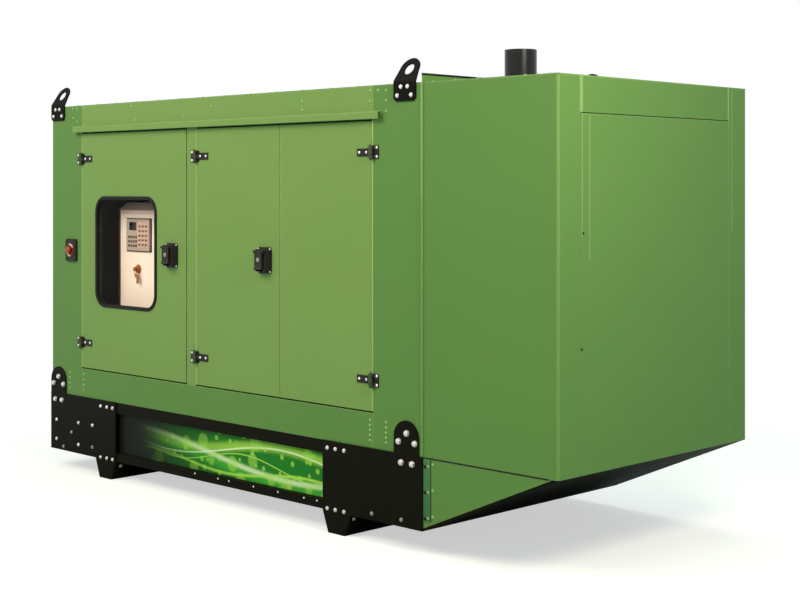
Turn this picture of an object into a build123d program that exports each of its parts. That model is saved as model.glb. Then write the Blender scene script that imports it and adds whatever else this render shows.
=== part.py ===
from build123d import *
import os
from math import atan2, cos, degrees, radians, sin, tan

os.makedirs("parts", exist_ok=True)

# A soundproofed diesel generating set on a steel base, in millimetres.
# X runs along the set towards the air-discharge hood, the door side faces -Y, and Z is up.
# The origin lies on the ground, in the middle of the whole length and width.

# Overall sizes
body_length = 3186.0
hood_length = 806.0
body_width = 1500.0
roof_height = 2215.0
deck_height = 457.0
foot_height = 110.0

# Plate and sheet thicknesses
heavy_plate = 8.0
frame_plate = 6.0
canopy_sheet = 3.0

# Base frame
beam_depth = 120.0
upper_lip = 65.0
lower_lip = 47.0
swage_depth = 25.0
end_beam_depth = 60.0
foot_top_width = 202.0
foot_bottom_width = 118.0
corner_plate_width = 690.0
tab_width = 162.0
tab_height = 160.0
left_tab_inset = 2.0
right_tab_inset = 25.0
tank_clearance = 20.0
tank_corner = 30.0

# Near and far walls
left_post_width = 330.0
control_opening = 1041.0
mullion_width = 82.0
right_post_width = 336.0
leaf_difference = 18.0
bottom_rail_height = 170.0
top_rail_height = 164.0
door_depth = 45.0
seal_gap = 3.0
door_gap = 8.0
door_frame_depth = 12.0
door_frame_overlap = 20.0
door_frame_land = 30.0
corner_chamfer = 8.0
lining_depth = 40.0
liner_clearance = 1.0

# Window of the control door
window_offset = 454.0
window_width = 612.0
window_height = 658.0
window_corner = 95.0
gasket_face = 20.0
gasket_overlap = 8.0
gasket_proud = 5.0
gasket_back = 12.0
pane_thickness = 5.0
pane_seat = 8.0
foam_cut_corner = 50.0

# Hinges
hinge_inset = 160.0
knuckle_radius = 9.0
knuckle_offset = 14.0
knuckle_play = 1.0
barrel_flats = 10
pin_radius = 4.5
pin_play = 0.05
hinge_plate = 4.0
leaf_height = 65.0
leaf_length = 45.0
moving_knuckle = 24.0
strap_height = 38.0
strap_length = 105.0
strap_flare = 14.0

# Paddle latches
control_latch_inset = 138.0
pair_latch_inset = 120.0
latch_width = 112.0
latch_height = 138.0
latch_flange = 6.0
latch_body_margin = 7.0
latch_body_depth = 30.0
latch_body_taper = 8.0
latch_corner = 12.0
pocket_drop = 23.0
pocket_height = 69.0
pocket_depth = 20.0
pocket_corner = 6.0
paddle_width = 58.0
paddle_height = 92.0
paddle_thickness = 7.0
paddle_barrel_radius = 7.0
paddle_pin_radius = 3.0
paddle_standoff = 10.0
paddle_drop = 46.0
ear_thickness = 7.0
ear_gap = 1.0

# Emergency stop
stop_offset = 226.0
stop_width = 112.0
stop_height = 134.0
stop_depth = 14.0
stop_corner = 10.0
stop_ring_radius = 26.0
stop_ring_flats = 12
stop_ring_depth = 4.0
stop_head_radius = 21.0
stop_head_depth = 14.0
stop_head_standoff = 10.0
stop_stem_radius = 10.0
stop_stem_engagement = 8.0
stop_travel = 5.0

# Drip rails
drip_rail_overrun = 60.0
drip_rail_height = 41.0
drip_rail_reach = 30.0
drip_rail_fall = 8.0
drip_rail_back = 24.0

# Joint flange and hood
flange_thickness = 6.0
flange_proud = 6.0
flange_upstand = 38.0
flange_depth = 40.0
end_panel_half_width = 593.0
panel_seam = 4.0
panel_overlap = 20.0
panel_thickness = 40.0
underside_thickness = 12.0
gusset_thickness = 6.0
gusset_seam = 3.0
outlet_margin = 140.0
outlet_start = 240.0
grille_depth = 30.0
grille_rim = 25.0
grille_pitch = 34.0
grille_bar = 5.0
bulkhead_thickness = 6.0

# Air intake in the left end wall
intake_half_width = 470.0
intake_rise = 263.0
intake_drop = 275.0
intake_rim = 25.0
blade_pitch = 76.0
blade_thickness = 3.0
blade_angle = 45.0
baffle_gap = 110.0
baffle_wall = 30.0

# Lifting lugs
lug_width = 145.0
lug_drop = 85.0
lug_rise = 5.0
lug_angle = 30.0
lug_bend_radius = 12.0
lug_eye_reach = 62.0
lug_eye_radius = 62.0
lug_hole_radius = 30.0
lug_corner = 15.0
left_lug_inset = 2.0
right_lug_inset = 44.0

# Exhaust stub
stub_outer_radius = 79.5
stub_wall = 4.0
stub_height = 180.0
stub_tail = 340.0
silencer_gap = 5.0
silencer_length = 640.0
silencer_corner = 45.0
bracket_width = 60.0
stub_flange_gap = 3.5
stub_y = -168.0
collar_width = 20.0
collar_thickness = 6.0
stub_roof_clearance = 12.0

# Control cabinet and its controller
cabinet_set_back = 150.0
cabinet_offset = 176.0
cabinet_width = 600.0
cabinet_rail_gap = 20.0
cabinet_height = 1168.0
cabinet_bevel_height = 42.0
cabinet_bevel_depth = 60.0
cabinet_door_margin = 18.0
cabinet_door_proud = 4.0
cabinet_door_corner = 6.0
controller_offset = 97.0
controller_width = 232.0
controller_height = 186.0
controller_drop = 94.0
controller_depth = 14.0
controller_corner = 6.0

# Engine, alternator and radiator
rail_half_gauge = 270.0
rail_width = 80.0
rail_height = 100.0
rail_overrun = 80.0
rail_end_gap = 20.0
shaft_rise = 453.0
alternator_radius = 270.0
alternator_length = 720.0
alternator_bell = 90.0
alternator_bell_radius = 215.0
terminal_box = 300.0
terminal_box_height = 150.0
flywheel_radius = 285.0
flywheel_length = 110.0
block_length = 1330.0
block_width = 460.0
block_rise = 270.0
sump_width = 340.0
sump_gap = 43.0
sump_depth = 170.0
head_width = 330.0
head_height = 120.0
rocker_count = 6
rocker_height = 70.0
rocker_gap = 30.0
rocker_width = 264.0
rocker_corner = 8.0
rocker_taper = 8.0
engine_foot_length = 110.0
engine_foot_height = 200.0
fan_radius = 430.0
fan_hub_radius = 90.0
fan_blades = 8
fan_depth = 70.0
fan_tip_gap = 15.0
fan_shaft_length = 280.0
shroud_wall = 4.0
shroud_length = 150.0
radiator_half_width = 560.0
radiator_gap = 63.0
radiator_height = 1310.0
radiator_core_depth = 90.0
radiator_tank = 110.0
radiator_tank_depth = 120.0
radiator_tank_corner = 15.0

# Positions that follow from the sizes above
x_left = -(body_length + hood_length) / 2
x_joint = x_left + body_length
x_end = x_joint + hood_length
y_near = -body_width / 2
y_far = body_width / 2
body_mid = (x_left + x_joint) / 2
wall_depth = door_depth + seal_gap
wall_top = roof_height - canopy_sheet
body_right = x_joint - flange_thickness / 2
hood_left = x_joint + flange_thickness / 2
hood_right = x_end - wall_depth
inner_half_width = body_width / 2 - wall_depth
control_left = x_left + left_post_width
control_right = control_left + control_opening
pair_left = control_right + mullion_width
pair_right = x_joint - right_post_width
pair_split = (pair_left + pair_right + leaf_difference) / 2
sill_height = deck_height + bottom_rail_height
header_height = roof_height - top_rail_height
opening_height = header_height - sill_height
handle_height = (sill_height + header_height) / 2
hinge_heights = [sill_height + hinge_inset, header_height - hinge_inset]
half_gap = door_gap / 2
intake_bottom = deck_height + intake_rise
intake_top = roof_height - intake_drop
shaft_height = deck_height + shaft_rise
block_top = shaft_height + block_rise
sump_bottom = deck_height + sump_gap
radiator_bottom = deck_height + radiator_gap
radiator_top = radiator_bottom + radiator_height
radiator_right = body_right - bulkhead_thickness
core_left = radiator_right - radiator_core_depth
shroud_left = core_left - shroud_length
fan_left = shroud_left + shroud_wall
block_right = fan_left - fan_shaft_length
flywheel_right = block_right - block_length
alternator_right = flywheel_right - flywheel_length
alternator_left = alternator_right - alternator_length
rail_left = alternator_left - rail_overrun
rail_right = radiator_right - radiator_tank_depth - rail_end_gap


def facing(y):
    """Plane at depth y that looks out of the door side; a positive extrusion runs towards -Y."""
    return Plane.XZ.offset(-y)


def slab(x0, x1, z0, z1, y_face, depth):
    """A plain panel between two X and two Z values, its outer face at y_face."""
    with BuildPart() as panel:
        with BuildSketch(facing(y_face)):
            with Locations(((x0 + x1) / 2, (z0 + z1) / 2)):
                Rectangle(x1 - x0, z1 - z0)
        extrude(amount=-depth)
    return panel.part


def far_side(piece):
    """The same piece on the far side of the set."""
    return mirror(piece, about=Plane.XZ)


def save(piece, name):
    """Names a finished piece and writes its STEP file."""
    piece.part.label = name
    export_step(piece.part, f"parts/{name}.step")


# Base frame: two folded side beams whose outer face is swaged in between an upper and a lower lip
with BuildPart() as side_beams:
    with BuildSketch(Plane.YZ.offset(x_left + end_beam_depth)):
        with BuildLine():
            Polyline(
                (y_near + beam_depth, deck_height),
                (y_near, deck_height),
                (y_near, deck_height - upper_lip),
                (y_near + swage_depth, deck_height - upper_lip),
                (y_near + swage_depth, foot_height + lower_lip),
                (y_near, foot_height + lower_lip),
                (y_near, foot_height),
                (y_near + beam_depth, foot_height),
            )
            offset(amount=frame_plate, side=Side.LEFT)
        make_face()
    extrude(amount=body_length - 2 * end_beam_depth)
    mirror(about=Plane.XZ)
save(side_beams, "side_beams")

# End beams: channels across the whole width, open towards the middle of the set
with BuildPart() as end_beams:
    with BuildSketch(Plane.XZ):
        with BuildLine():
            Polyline(
                (x_left + end_beam_depth, deck_height),
                (x_left, deck_height),
                (x_left, foot_height),
                (x_left + end_beam_depth, foot_height),
            )
            offset(amount=frame_plate, side=Side.LEFT)
        make_face()
    extrude(amount=body_width / 2, both=True)
    mirror(about=Plane.YZ.offset(body_mid))
save(end_beams, "end_beams")


def corner_plate(end_x, inward, tab_inset):
    """Outer corner plate: foot face below, round-topped tab above; inward is the X sign to the middle."""
    inner_x = end_x + inward * corner_plate_width
    foot_slope = (foot_top_width - foot_bottom_width) / 2
    tab_outer = end_x + inward * tab_inset
    tab_inner = tab_outer + inward * tab_width
    tab_crown = ((tab_outer + tab_inner) / 2, deck_height + tab_height)
    tab_spring = deck_height + tab_height - tab_width / 2
    with BuildPart() as corner:
        with BuildSketch(facing(y_near)):
            with BuildLine():
                outline = Polyline(
                    (tab_outer, tab_spring),
                    (tab_outer, deck_height),
                    (end_x, deck_height),
                    (end_x, foot_height),
                    (inner_x - inward * foot_top_width, foot_height),
                    (inner_x - inward * (foot_top_width - foot_slope), 0),
                    (inner_x - inward * foot_slope, 0),
                    (inner_x, foot_height),
                    (inner_x, deck_height),
                    (tab_inner, deck_height),
                    (tab_inner, tab_spring),
                )
                ThreePointArc(outline @ 1, tab_crown, outline @ 0)
            make_face()
        extrude(amount=heavy_plate)
    return corner.part


corner_left = corner_plate(x_left, 1, left_tab_inset)
corner_right = corner_plate(x_joint, -1, right_tab_inset)
with BuildPart() as corner_plates:
    add(corner_left)
    add(corner_right)
    mirror(about=Plane.XZ)
save(corner_plates, "corner_plates")

# Foot rails: folded troughs across the width, behind the feet of the corner plates
left_foot_x = x_left + corner_plate_width - foot_top_width / 2
right_foot_x = x_joint - corner_plate_width + foot_top_width / 2
with BuildPart() as foot_rails:
    with BuildSketch(Plane.XZ):
        for foot_x in (left_foot_x, right_foot_x):
            with BuildLine():
                Polyline(
                    (foot_x - foot_top_width / 2, foot_height),
                    (foot_x - foot_bottom_width / 2, 0),
                    (foot_x + foot_bottom_width / 2, 0),
                    (foot_x + foot_top_width / 2, foot_height),
                    close=True,
                )
            make_face()
        offset(amount=-frame_plate, mode=Mode.SUBTRACT)
    extrude(amount=body_width / 2, both=True)
save(foot_rails, "foot_rails")

# Fuel tank between the side beams, with the bay floor over it
tank_top = deck_height - frame_plate
tank_bottom = foot_height + tank_clearance
tank_length = body_length - 2 * (corner_plate_width - foot_top_width)
with BuildPart() as fuel_tank:
    with BuildSketch(Plane.XY.offset(tank_bottom)):
        with Locations((body_mid, 0)):
            tank = Rectangle(tank_length, body_width - 2 * beam_depth)
        chamfer(tank.vertices(), tank_corner)
    extrude(amount=tank_top - tank_bottom)
save(fuel_tank, "fuel_tank")

with BuildPart() as bay_floor:
    with BuildSketch(Plane.XY.offset(tank_top)):
        with Locations((body_mid, 0)):
            Rectangle(body_length - 2 * end_beam_depth, body_width - 2 * beam_depth)
    extrude(amount=frame_plate)
save(bay_floor, "bay_floor")


# Canopy walls: lined panels as deep as a door and its seal
def corner_post(x_outer, x_inner):
    """Corner panel with a small fold along its outer corner."""
    inward = 1 if x_inner > x_outer else -1
    with BuildPart() as post:
        with BuildSketch(Plane.XY.offset(deck_height)):
            with BuildLine():
                Polyline(
                    (x_outer + inward * corner_chamfer, y_near),
                    (x_inner, y_near),
                    (x_inner, y_near + wall_depth),
                    (x_outer, y_near + wall_depth),
                    (x_outer, y_near + corner_chamfer),
                    close=True,
                )
            make_face()
        extrude(amount=wall_top - deck_height)
    return post.part


left_post = corner_post(x_left, control_left)
right_post = slab(pair_right, body_right, deck_height, wall_top, y_near, wall_depth)
mullion = slab(control_right, pair_left, sill_height, header_height, y_near, wall_depth)
top_rail = slab(control_left, pair_right, header_height, wall_top, y_near, wall_depth)
bottom_rail = slab(control_left, pair_right, deck_height, sill_height, y_near, wall_depth)

with BuildPart() as near_left_post:
    add(left_post)
save(near_left_post, "near_left_post")

with BuildPart() as near_right_post:
    add(right_post)
save(near_right_post, "near_right_post")

with BuildPart() as near_mullion:
    add(mullion)
save(near_mullion, "near_mullion")

with BuildPart() as near_top_rail:
    add(top_rail)
save(near_top_rail, "near_top_rail")

with BuildPart() as near_bottom_rail:
    add(bottom_rail)
save(near_bottom_rail, "near_bottom_rail")

with BuildPart() as far_posts:
    add(far_side(left_post))
    add(far_side(mullion))
    add(far_side(right_post))
save(far_posts, "far_posts")

with BuildPart() as far_rails:
    add(far_side(top_rail))
    add(far_side(bottom_rail))
save(far_rails, "far_rails")

# Door frames: flat rings behind the near openings that the doors close against
frame_openings = [(control_left, control_right), (pair_left, pair_right)]
with BuildPart() as door_frames:
    with BuildSketch(facing(y_near + wall_depth)):
        for x0, x1 in frame_openings:
            with Locations(((x0 + x1) / 2, handle_height)):
                Rectangle(x1 - x0 + 2 * door_frame_land, opening_height + 2 * door_frame_land)
                Rectangle(
                    x1 - x0 - 2 * door_frame_overlap,
                    opening_height - 2 * door_frame_overlap,
                    mode=Mode.SUBTRACT,
                )
    extrude(amount=-door_frame_depth)
save(door_frames, "door_frames")


# Doors: folded pans with a foam liner behind the skin
door_bottom = sill_height + door_gap
door_top = header_height - door_gap


def door_pan(x0, x1):
    """Folded sheet pan of one leaf, open at the back."""
    with BuildPart() as pan:
        add(slab(x0, x1, door_bottom, door_top, y_near, door_depth))
        add(
            slab(
                x0 + canopy_sheet,
                x1 - canopy_sheet,
                door_bottom + canopy_sheet,
                door_top - canopy_sheet,
                y_near + canopy_sheet,
                door_depth - canopy_sheet,
            ),
            mode=Mode.SUBTRACT,
        )
    return pan.part


def door_liner(x0, x1):
    """Foam slab that fills the pan of one leaf, held a little short of its back edge."""
    margin = canopy_sheet + liner_clearance
    return slab(
        x0 + margin,
        x1 - margin,
        door_bottom + margin,
        door_top - margin,
        y_near + canopy_sheet,
        door_depth - 2 * canopy_sheet,
    )


control_leaf = (control_left + door_gap, control_right - door_gap)
left_leaf = (pair_left + door_gap, pair_split - half_gap)
right_leaf = (pair_split + half_gap, pair_right - door_gap)
window_x = control_left + window_offset
cut_width = window_width - 2 * gasket_overlap
cut_height = window_height - 2 * gasket_overlap
cut_corner = window_corner - gasket_overlap
sight_width = window_width - 2 * gasket_face
sight_height = window_height - 2 * gasket_face
sight_corner = window_corner - gasket_face

control_pan = door_pan(*control_leaf)
with BuildPart() as control_door:
    add(control_pan)
    with BuildSketch(facing(y_near)):
        with Locations((window_x, handle_height)):
            RectangleRounded(cut_width, cut_height, cut_corner)
    extrude(amount=-door_depth, mode=Mode.SUBTRACT)
save(control_door, "control_door")

control_foam = door_liner(*control_leaf)
with BuildPart() as control_door_liner:
    add(control_foam)
    with BuildSketch(facing(y_near)):
        with Locations((window_x, handle_height)):
            foam_cut = Rectangle(cut_width, cut_height)
        chamfer(foam_cut.vertices(), foam_cut_corner)
    extrude(amount=-door_depth, mode=Mode.SUBTRACT)
save(control_door_liner, "control_door_liner")

# Window: a rubber ring whose groove holds the pane
pane_front = y_near + gasket_proud / 2
with BuildPart() as window_pane:
    with BuildSketch(facing(pane_front)):
        with Locations((window_x, handle_height)):
            RectangleRounded(
                sight_width + 2 * pane_seat, sight_height + 2 * pane_seat, sight_corner + pane_seat
            )
    extrude(amount=-pane_thickness)
save(window_pane, "window_pane")

with BuildPart() as window_gasket:
    with BuildSketch(facing(y_near)):
        with Locations((window_x, handle_height)):
            RectangleRounded(window_width, window_height, window_corner)
    extrude(amount=gasket_proud)
    with BuildSketch(facing(y_near)):
        with Locations((window_x, handle_height)):
            RectangleRounded(cut_width, cut_height, cut_corner)
    extrude(amount=-gasket_back)
    with BuildSketch(facing(y_near - gasket_proud)):
        with Locations((window_x, handle_height)):
            RectangleRounded(sight_width, sight_height, sight_corner)
    extrude(amount=-gasket_proud - gasket_back, mode=Mode.SUBTRACT)
    add(window_pane.part, mode=Mode.SUBTRACT)
save(window_gasket, "window_gasket")

left_pan = door_pan(*left_leaf)
with BuildPart() as left_door:
    add(left_pan)
save(left_door, "left_door")

left_foam = door_liner(*left_leaf)
with BuildPart() as left_door_liner:
    add(left_foam)
save(left_door_liner, "left_door_liner")

right_pan = door_pan(*right_leaf)
with BuildPart() as right_door:
    add(right_pan)
save(right_door, "right_door")

right_foam = door_liner(*right_leaf)
with BuildPart() as right_door_liner:
    add(right_foam)
save(right_door_liner, "right_door_liner")

plain_leaf = slab(*control_leaf, door_bottom, door_top, y_near, door_depth)
with BuildPart() as far_doors:
    add(far_side(plain_leaf))
    add(far_side(slab(*left_leaf, door_bottom, door_top, y_near, door_depth)))
    add(far_side(slab(*right_leaf, door_bottom, door_top, y_near, door_depth)))
save(far_doors, "far_doors")


# Hinges: the pin stands off the panel face, over the middle of the seam
def hinge_fixed(hinge_x, hinge_z, post_side):
    """Post leaf, its two knuckles and the pin; post_side is the X sign towards the post."""
    axis_y = y_near - knuckle_offset
    outer_end = leaf_height / 2
    inner_end = moving_knuckle / 2 + knuckle_play
    post_edge = hinge_x + post_side * half_gap
    with BuildPart() as leaf:
        with BuildSketch(facing(y_near)):
            with Locations((post_edge + post_side * (leaf_length - half_gap) / 2, hinge_z)):
                Rectangle(leaf_length - half_gap, leaf_height)
        extrude(amount=hinge_plate)
        for low, high in ((-outer_end, -inner_end), (inner_end, outer_end)):
            with BuildSketch(Plane.XY.offset(hinge_z + low)):
                with Locations((hinge_x, axis_y)):
                    RegularPolygon(knuckle_radius, barrel_flats, major_radius=False)
                with BuildLine():
                    Polyline(
                        (hinge_x, axis_y - knuckle_radius),
                        (hinge_x, axis_y + knuckle_radius),
                        (post_edge, y_near),
                        (post_edge + post_side * 2 * knuckle_radius, y_near),
                        (post_edge + post_side * 2 * knuckle_radius, y_near - hinge_plate),
                        close=True,
                    )
                make_face()
            extrude(amount=high - low)
        with BuildSketch(Plane.XY.offset(hinge_z - outer_end)):
            with Locations((hinge_x, axis_y)):
                Circle(pin_radius)
        extrude(amount=leaf_height)
    return leaf.part


def hinge_moving(hinge_x, hinge_z, door_side):
    """Door strap with its knuckle; door_side is the X sign towards the door."""
    axis_y = y_near - knuckle_offset
    door_edge = hinge_x + door_side * half_gap
    strap_end = hinge_x + door_side * strap_length
    flare_end = door_edge + door_side * strap_flare
    neck = flare_end + door_side * (leaf_height - strap_height) / 2
    with BuildPart() as strap:
        with BuildSketch(facing(y_near)):
            with BuildLine():
                Polyline(
                    (door_edge, hinge_z - leaf_height / 2),
                    (flare_end, hinge_z - leaf_height / 2),
                    (neck, hinge_z - strap_height / 2),
                    (strap_end, hinge_z - strap_height / 2),
                    (strap_end, hinge_z + strap_height / 2),
                    (neck, hinge_z + strap_height / 2),
                    (flare_end, hinge_z + leaf_height / 2),
                    (door_edge, hinge_z + leaf_height / 2),
                    close=True,
                )
            make_face()
        extrude(amount=hinge_plate)
        with BuildSketch(Plane.XY.offset(hinge_z - moving_knuckle / 2)):
            with Locations((hinge_x, axis_y)):
                RegularPolygon(knuckle_radius, barrel_flats, major_radius=False)
            with BuildLine():
                Polyline(
                    (hinge_x, axis_y - knuckle_radius),
                    (hinge_x, axis_y + knuckle_radius),
                    (door_edge, y_near),
                    (door_edge + door_side * 2 * knuckle_radius, y_near),
                    (door_edge + door_side * 2 * knuckle_radius, y_near - hinge_plate),
                    close=True,
                )
            make_face()
            with Locations((hinge_x, axis_y)):
                Circle(pin_radius + pin_play, mode=Mode.SUBTRACT)
        extrude(amount=moving_knuckle)
    return strap.part


control_hinge_x = control_left + half_gap
left_hinge_x = pair_left + half_gap
right_hinge_x = pair_right - half_gap
door_hinges = [(control_hinge_x, 1), (left_hinge_x, 1), (right_hinge_x, -1)]
fixed_leaves = [hinge_fixed(x, z, -side) for x, side in door_hinges for z in hinge_heights]
control_straps = [hinge_moving(control_hinge_x, z, 1) for z in hinge_heights]
left_straps = [hinge_moving(left_hinge_x, z, 1) for z in hinge_heights]
right_straps = [hinge_moving(right_hinge_x, z, -1) for z in hinge_heights]

with BuildPart() as hinge_leaves:
    add(fixed_leaves)
save(hinge_leaves, "hinge_leaves")


# Paddle latches: a tapered housing with two ears, and a paddle on the pin between them
def latch_housing(latch_x):
    """Housing of one latch, with the pin between its ears."""
    body_width_x = latch_width - 2 * latch_body_margin
    body_height_z = latch_height - 2 * latch_body_margin
    body_front = y_near - latch_flange - latch_body_depth
    pivot_y = body_front - paddle_standoff
    pivot_z = handle_height + paddle_drop
    with BuildPart() as housing:
        with BuildSketch(facing(y_near)):
            with Locations((latch_x, handle_height)):
                plate = Rectangle(latch_width, latch_height)
            chamfer(plate.vertices(), latch_corner)
        extrude(amount=latch_flange)
        with BuildSketch(facing(y_near - latch_flange)):
            with Locations((latch_x, handle_height)):
                body = Rectangle(body_width_x, body_height_z)
            chamfer(body.vertices(), latch_corner)
        extrude(amount=latch_body_depth, taper=latch_body_taper)
        with BuildSketch(facing(body_front)):
            with Locations((latch_x, handle_height - pocket_drop)):
                pocket = Rectangle(paddle_width, pocket_height)
            chamfer(pocket.vertices(), pocket_corner)
        extrude(amount=-pocket_depth, taper=latch_body_taper, mode=Mode.SUBTRACT)
        ear_x = paddle_width / 2 + ear_gap
        ear_nose = paddle_barrel_radius / 2
        for ear_side in (-1, 1):
            with BuildSketch(Plane.YZ.offset(latch_x + ear_side * ear_x)):
                with BuildLine():
                    Polyline(
                        (body_front + latch_flange, pivot_z - 2 * paddle_barrel_radius),
                        (body_front + latch_flange, pivot_z + paddle_barrel_radius),
                        (pivot_y - ear_nose, pivot_z + paddle_barrel_radius),
                        (pivot_y - paddle_barrel_radius, pivot_z + ear_nose),
                        (pivot_y - paddle_barrel_radius, pivot_z - ear_nose),
                        (pivot_y - ear_nose, pivot_z - paddle_barrel_radius),
                        close=True,
                    )
                make_face()
            extrude(amount=ear_side * ear_thickness)
        with BuildSketch(Plane.YZ.offset(latch_x - ear_x)):
            with Locations((pivot_y, pivot_z)):
                Circle(paddle_pin_radius)
        extrude(amount=2 * ear_x)
    return housing.part


def latch_paddle(latch_x):
    """Paddle of one latch: a barrel on the pin and a plate with a curled finger lip."""
    body_front = y_near - latch_flange - latch_body_depth
    pivot_y = body_front - paddle_standoff
    pivot_z = handle_height + paddle_drop
    half = paddle_thickness / 2
    tip_z = pivot_z - paddle_height
    with BuildPart() as paddle:
        with BuildSketch(Plane.YZ.offset(latch_x - paddle_width / 2)):
            with Locations((pivot_y, pivot_z)):
                RegularPolygon(paddle_barrel_radius, barrel_flats, major_radius=False)
            with BuildLine():
                Polyline(
                    (pivot_y + half, pivot_z),
                    (pivot_y + half, tip_z + paddle_thickness),
                    (pivot_y - half, tip_z),
                    (pivot_y - 3 * half, tip_z),
                    (pivot_y - half, tip_z + 2 * paddle_thickness),
                    (pivot_y - half, pivot_z),
                    close=True,
                )
            make_face()
            with Locations((pivot_y, pivot_z)):
                Circle(paddle_pin_radius + pin_play, mode=Mode.SUBTRACT)
        extrude(amount=paddle_width)
    return paddle.part


control_latch_x = control_right - control_latch_inset
pair_latch_x = pair_split - pair_latch_inset
control_housing = latch_housing(control_latch_x)
pair_housing = latch_housing(pair_latch_x)
control_flap = latch_paddle(control_latch_x)
pair_flap = latch_paddle(pair_latch_x)

with BuildPart() as control_door_fittings:
    add(control_straps)
    add(control_housing)
save(control_door_fittings, "control_door_fittings")

with BuildPart() as left_door_fittings:
    add(left_straps)
    add(pair_housing)
save(left_door_fittings, "left_door_fittings")

with BuildPart() as right_door_straps:
    add(right_straps)
save(right_door_straps, "right_door_straps")

with BuildPart() as control_paddle:
    add(control_flap)
save(control_paddle, "control_paddle")

with BuildPart() as pair_paddle:
    add(pair_flap)
save(pair_paddle, "pair_paddle")


# The doors of the far side are drawn shut, each hinge and each latch there as one piece
def closed_hinge(hinge_x, hinge_z, door_side):
    """Leaf, strap and rolled barrel of one far hinge; door_side is the X sign towards the door."""
    axis_y = y_near - knuckle_offset
    leaf_end = hinge_x - door_side * leaf_length
    strap_end = hinge_x + door_side * strap_length
    flare_end = hinge_x + door_side * (half_gap + strap_flare)
    neck = flare_end + door_side * (leaf_height - strap_height) / 2
    barrel_flat = knuckle_radius / 2
    with BuildPart() as hinge:
        with BuildSketch(facing(y_near)):
            with BuildLine():
                Polyline(
                    (leaf_end, hinge_z - leaf_height / 2),
                    (flare_end, hinge_z - leaf_height / 2),
                    (neck, hinge_z - strap_height / 2),
                    (strap_end, hinge_z - strap_height / 2),
                    (strap_end, hinge_z + strap_height / 2),
                    (neck, hinge_z + strap_height / 2),
                    (flare_end, hinge_z + leaf_height / 2),
                    (leaf_end, hinge_z + leaf_height / 2),
                    close=True,
                )
            make_face()
        extrude(amount=hinge_plate)
        with BuildSketch(Plane.XY.offset(hinge_z - leaf_height / 2)):
            with BuildLine():
                Polyline(
                    (hinge_x - 2 * knuckle_radius, y_near - hinge_plate),
                    (hinge_x - knuckle_radius, axis_y + barrel_flat),
                    (hinge_x - knuckle_radius, axis_y - barrel_flat),
                    (hinge_x - barrel_flat, axis_y - knuckle_radius),
                    (hinge_x + barrel_flat, axis_y - knuckle_radius),
                    (hinge_x + knuckle_radius, axis_y - barrel_flat),
                    (hinge_x + knuckle_radius, axis_y + barrel_flat),
                    (hinge_x + 2 * knuckle_radius, y_near - hinge_plate),
                    close=True,
                )
            make_face()
        extrude(amount=leaf_height)
    return hinge.part


def closed_latch(latch_x):
    """One far latch, its paddle shut against the housing."""
    body_front = y_near - latch_flange - latch_body_depth
    paddle_front = body_front - paddle_standoff - paddle_thickness / 2
    pivot_z = handle_height + paddle_drop
    with BuildPart() as latch:
        with BuildSketch(facing(y_near)):
            with Locations((latch_x, handle_height)):
                plate = Rectangle(latch_width, latch_height)
            chamfer(plate.vertices(), latch_corner)
        extrude(amount=latch_flange)
        with BuildSketch(facing(y_near - latch_flange)):
            with Locations((latch_x, handle_height)):
                body = Rectangle(latch_width - 2 * latch_body_margin, latch_height - 2 * latch_body_margin)
            chamfer(body.vertices(), latch_corner)
        extrude(amount=latch_body_depth, taper=latch_body_taper)
        with BuildSketch(Plane.YZ.offset(latch_x - paddle_width / 2)):
            with BuildLine():
                Polyline(
                    (body_front, pivot_z + paddle_barrel_radius),
                    (paddle_front, pivot_z + paddle_barrel_radius),
                    (paddle_front, pivot_z - paddle_height + 2 * paddle_thickness),
                    (paddle_front - paddle_thickness, pivot_z - paddle_height),
                    (body_front, pivot_z - paddle_height + paddle_thickness),
                    close=True,
                )
            make_face()
        extrude(amount=paddle_width)
    return latch.part


far_hinges = [closed_hinge(x, z, side) for x, side in door_hinges for z in hinge_heights]
far_latches = [closed_latch(control_latch_x), closed_latch(pair_latch_x)]
with BuildPart() as far_door_fittings:
    add([far_side(piece) for piece in far_hinges + far_latches])
save(far_door_fittings, "far_door_fittings")

# Emergency stop: a box on the left post, its ring, and the mushroom button that slides in it
stop_x = x_left + stop_offset
stop_front = y_near - stop_depth
with BuildPart() as stop_box:
    with BuildSketch(facing(y_near)):
        with Locations((stop_x, handle_height)):
            stop_plate = Rectangle(stop_width, stop_height)
        chamfer(stop_plate.vertices(), stop_corner)
    extrude(amount=stop_depth)
    with BuildSketch(facing(stop_front)):
        with Locations((stop_x, handle_height)):
            RegularPolygon(stop_ring_radius, stop_ring_flats, major_radius=False)
    extrude(amount=stop_ring_depth)
    with BuildSketch(facing(stop_front - stop_ring_depth)):
        with Locations((stop_x, handle_height)):
            Circle(stop_stem_radius + pin_play)
    bore_depth = stop_stem_engagement + 2 * stop_travel
    extrude(amount=-bore_depth, mode=Mode.SUBTRACT)
save(stop_box, "stop_box")

stop_stem_length = stop_head_standoff + stop_stem_engagement
with BuildPart() as stop_button:
    with BuildSketch(facing(stop_front - stop_ring_depth + stop_stem_engagement)):
        with Locations((stop_x, handle_height)):
            Circle(stop_stem_radius)
    extrude(amount=stop_stem_length)
    with BuildSketch(facing(stop_front - stop_ring_depth - stop_head_standoff)):
        with Locations((stop_x, handle_height)):
            Circle(stop_head_radius)
    extrude(amount=stop_head_depth)
save(stop_button, "stop_button")

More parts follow.
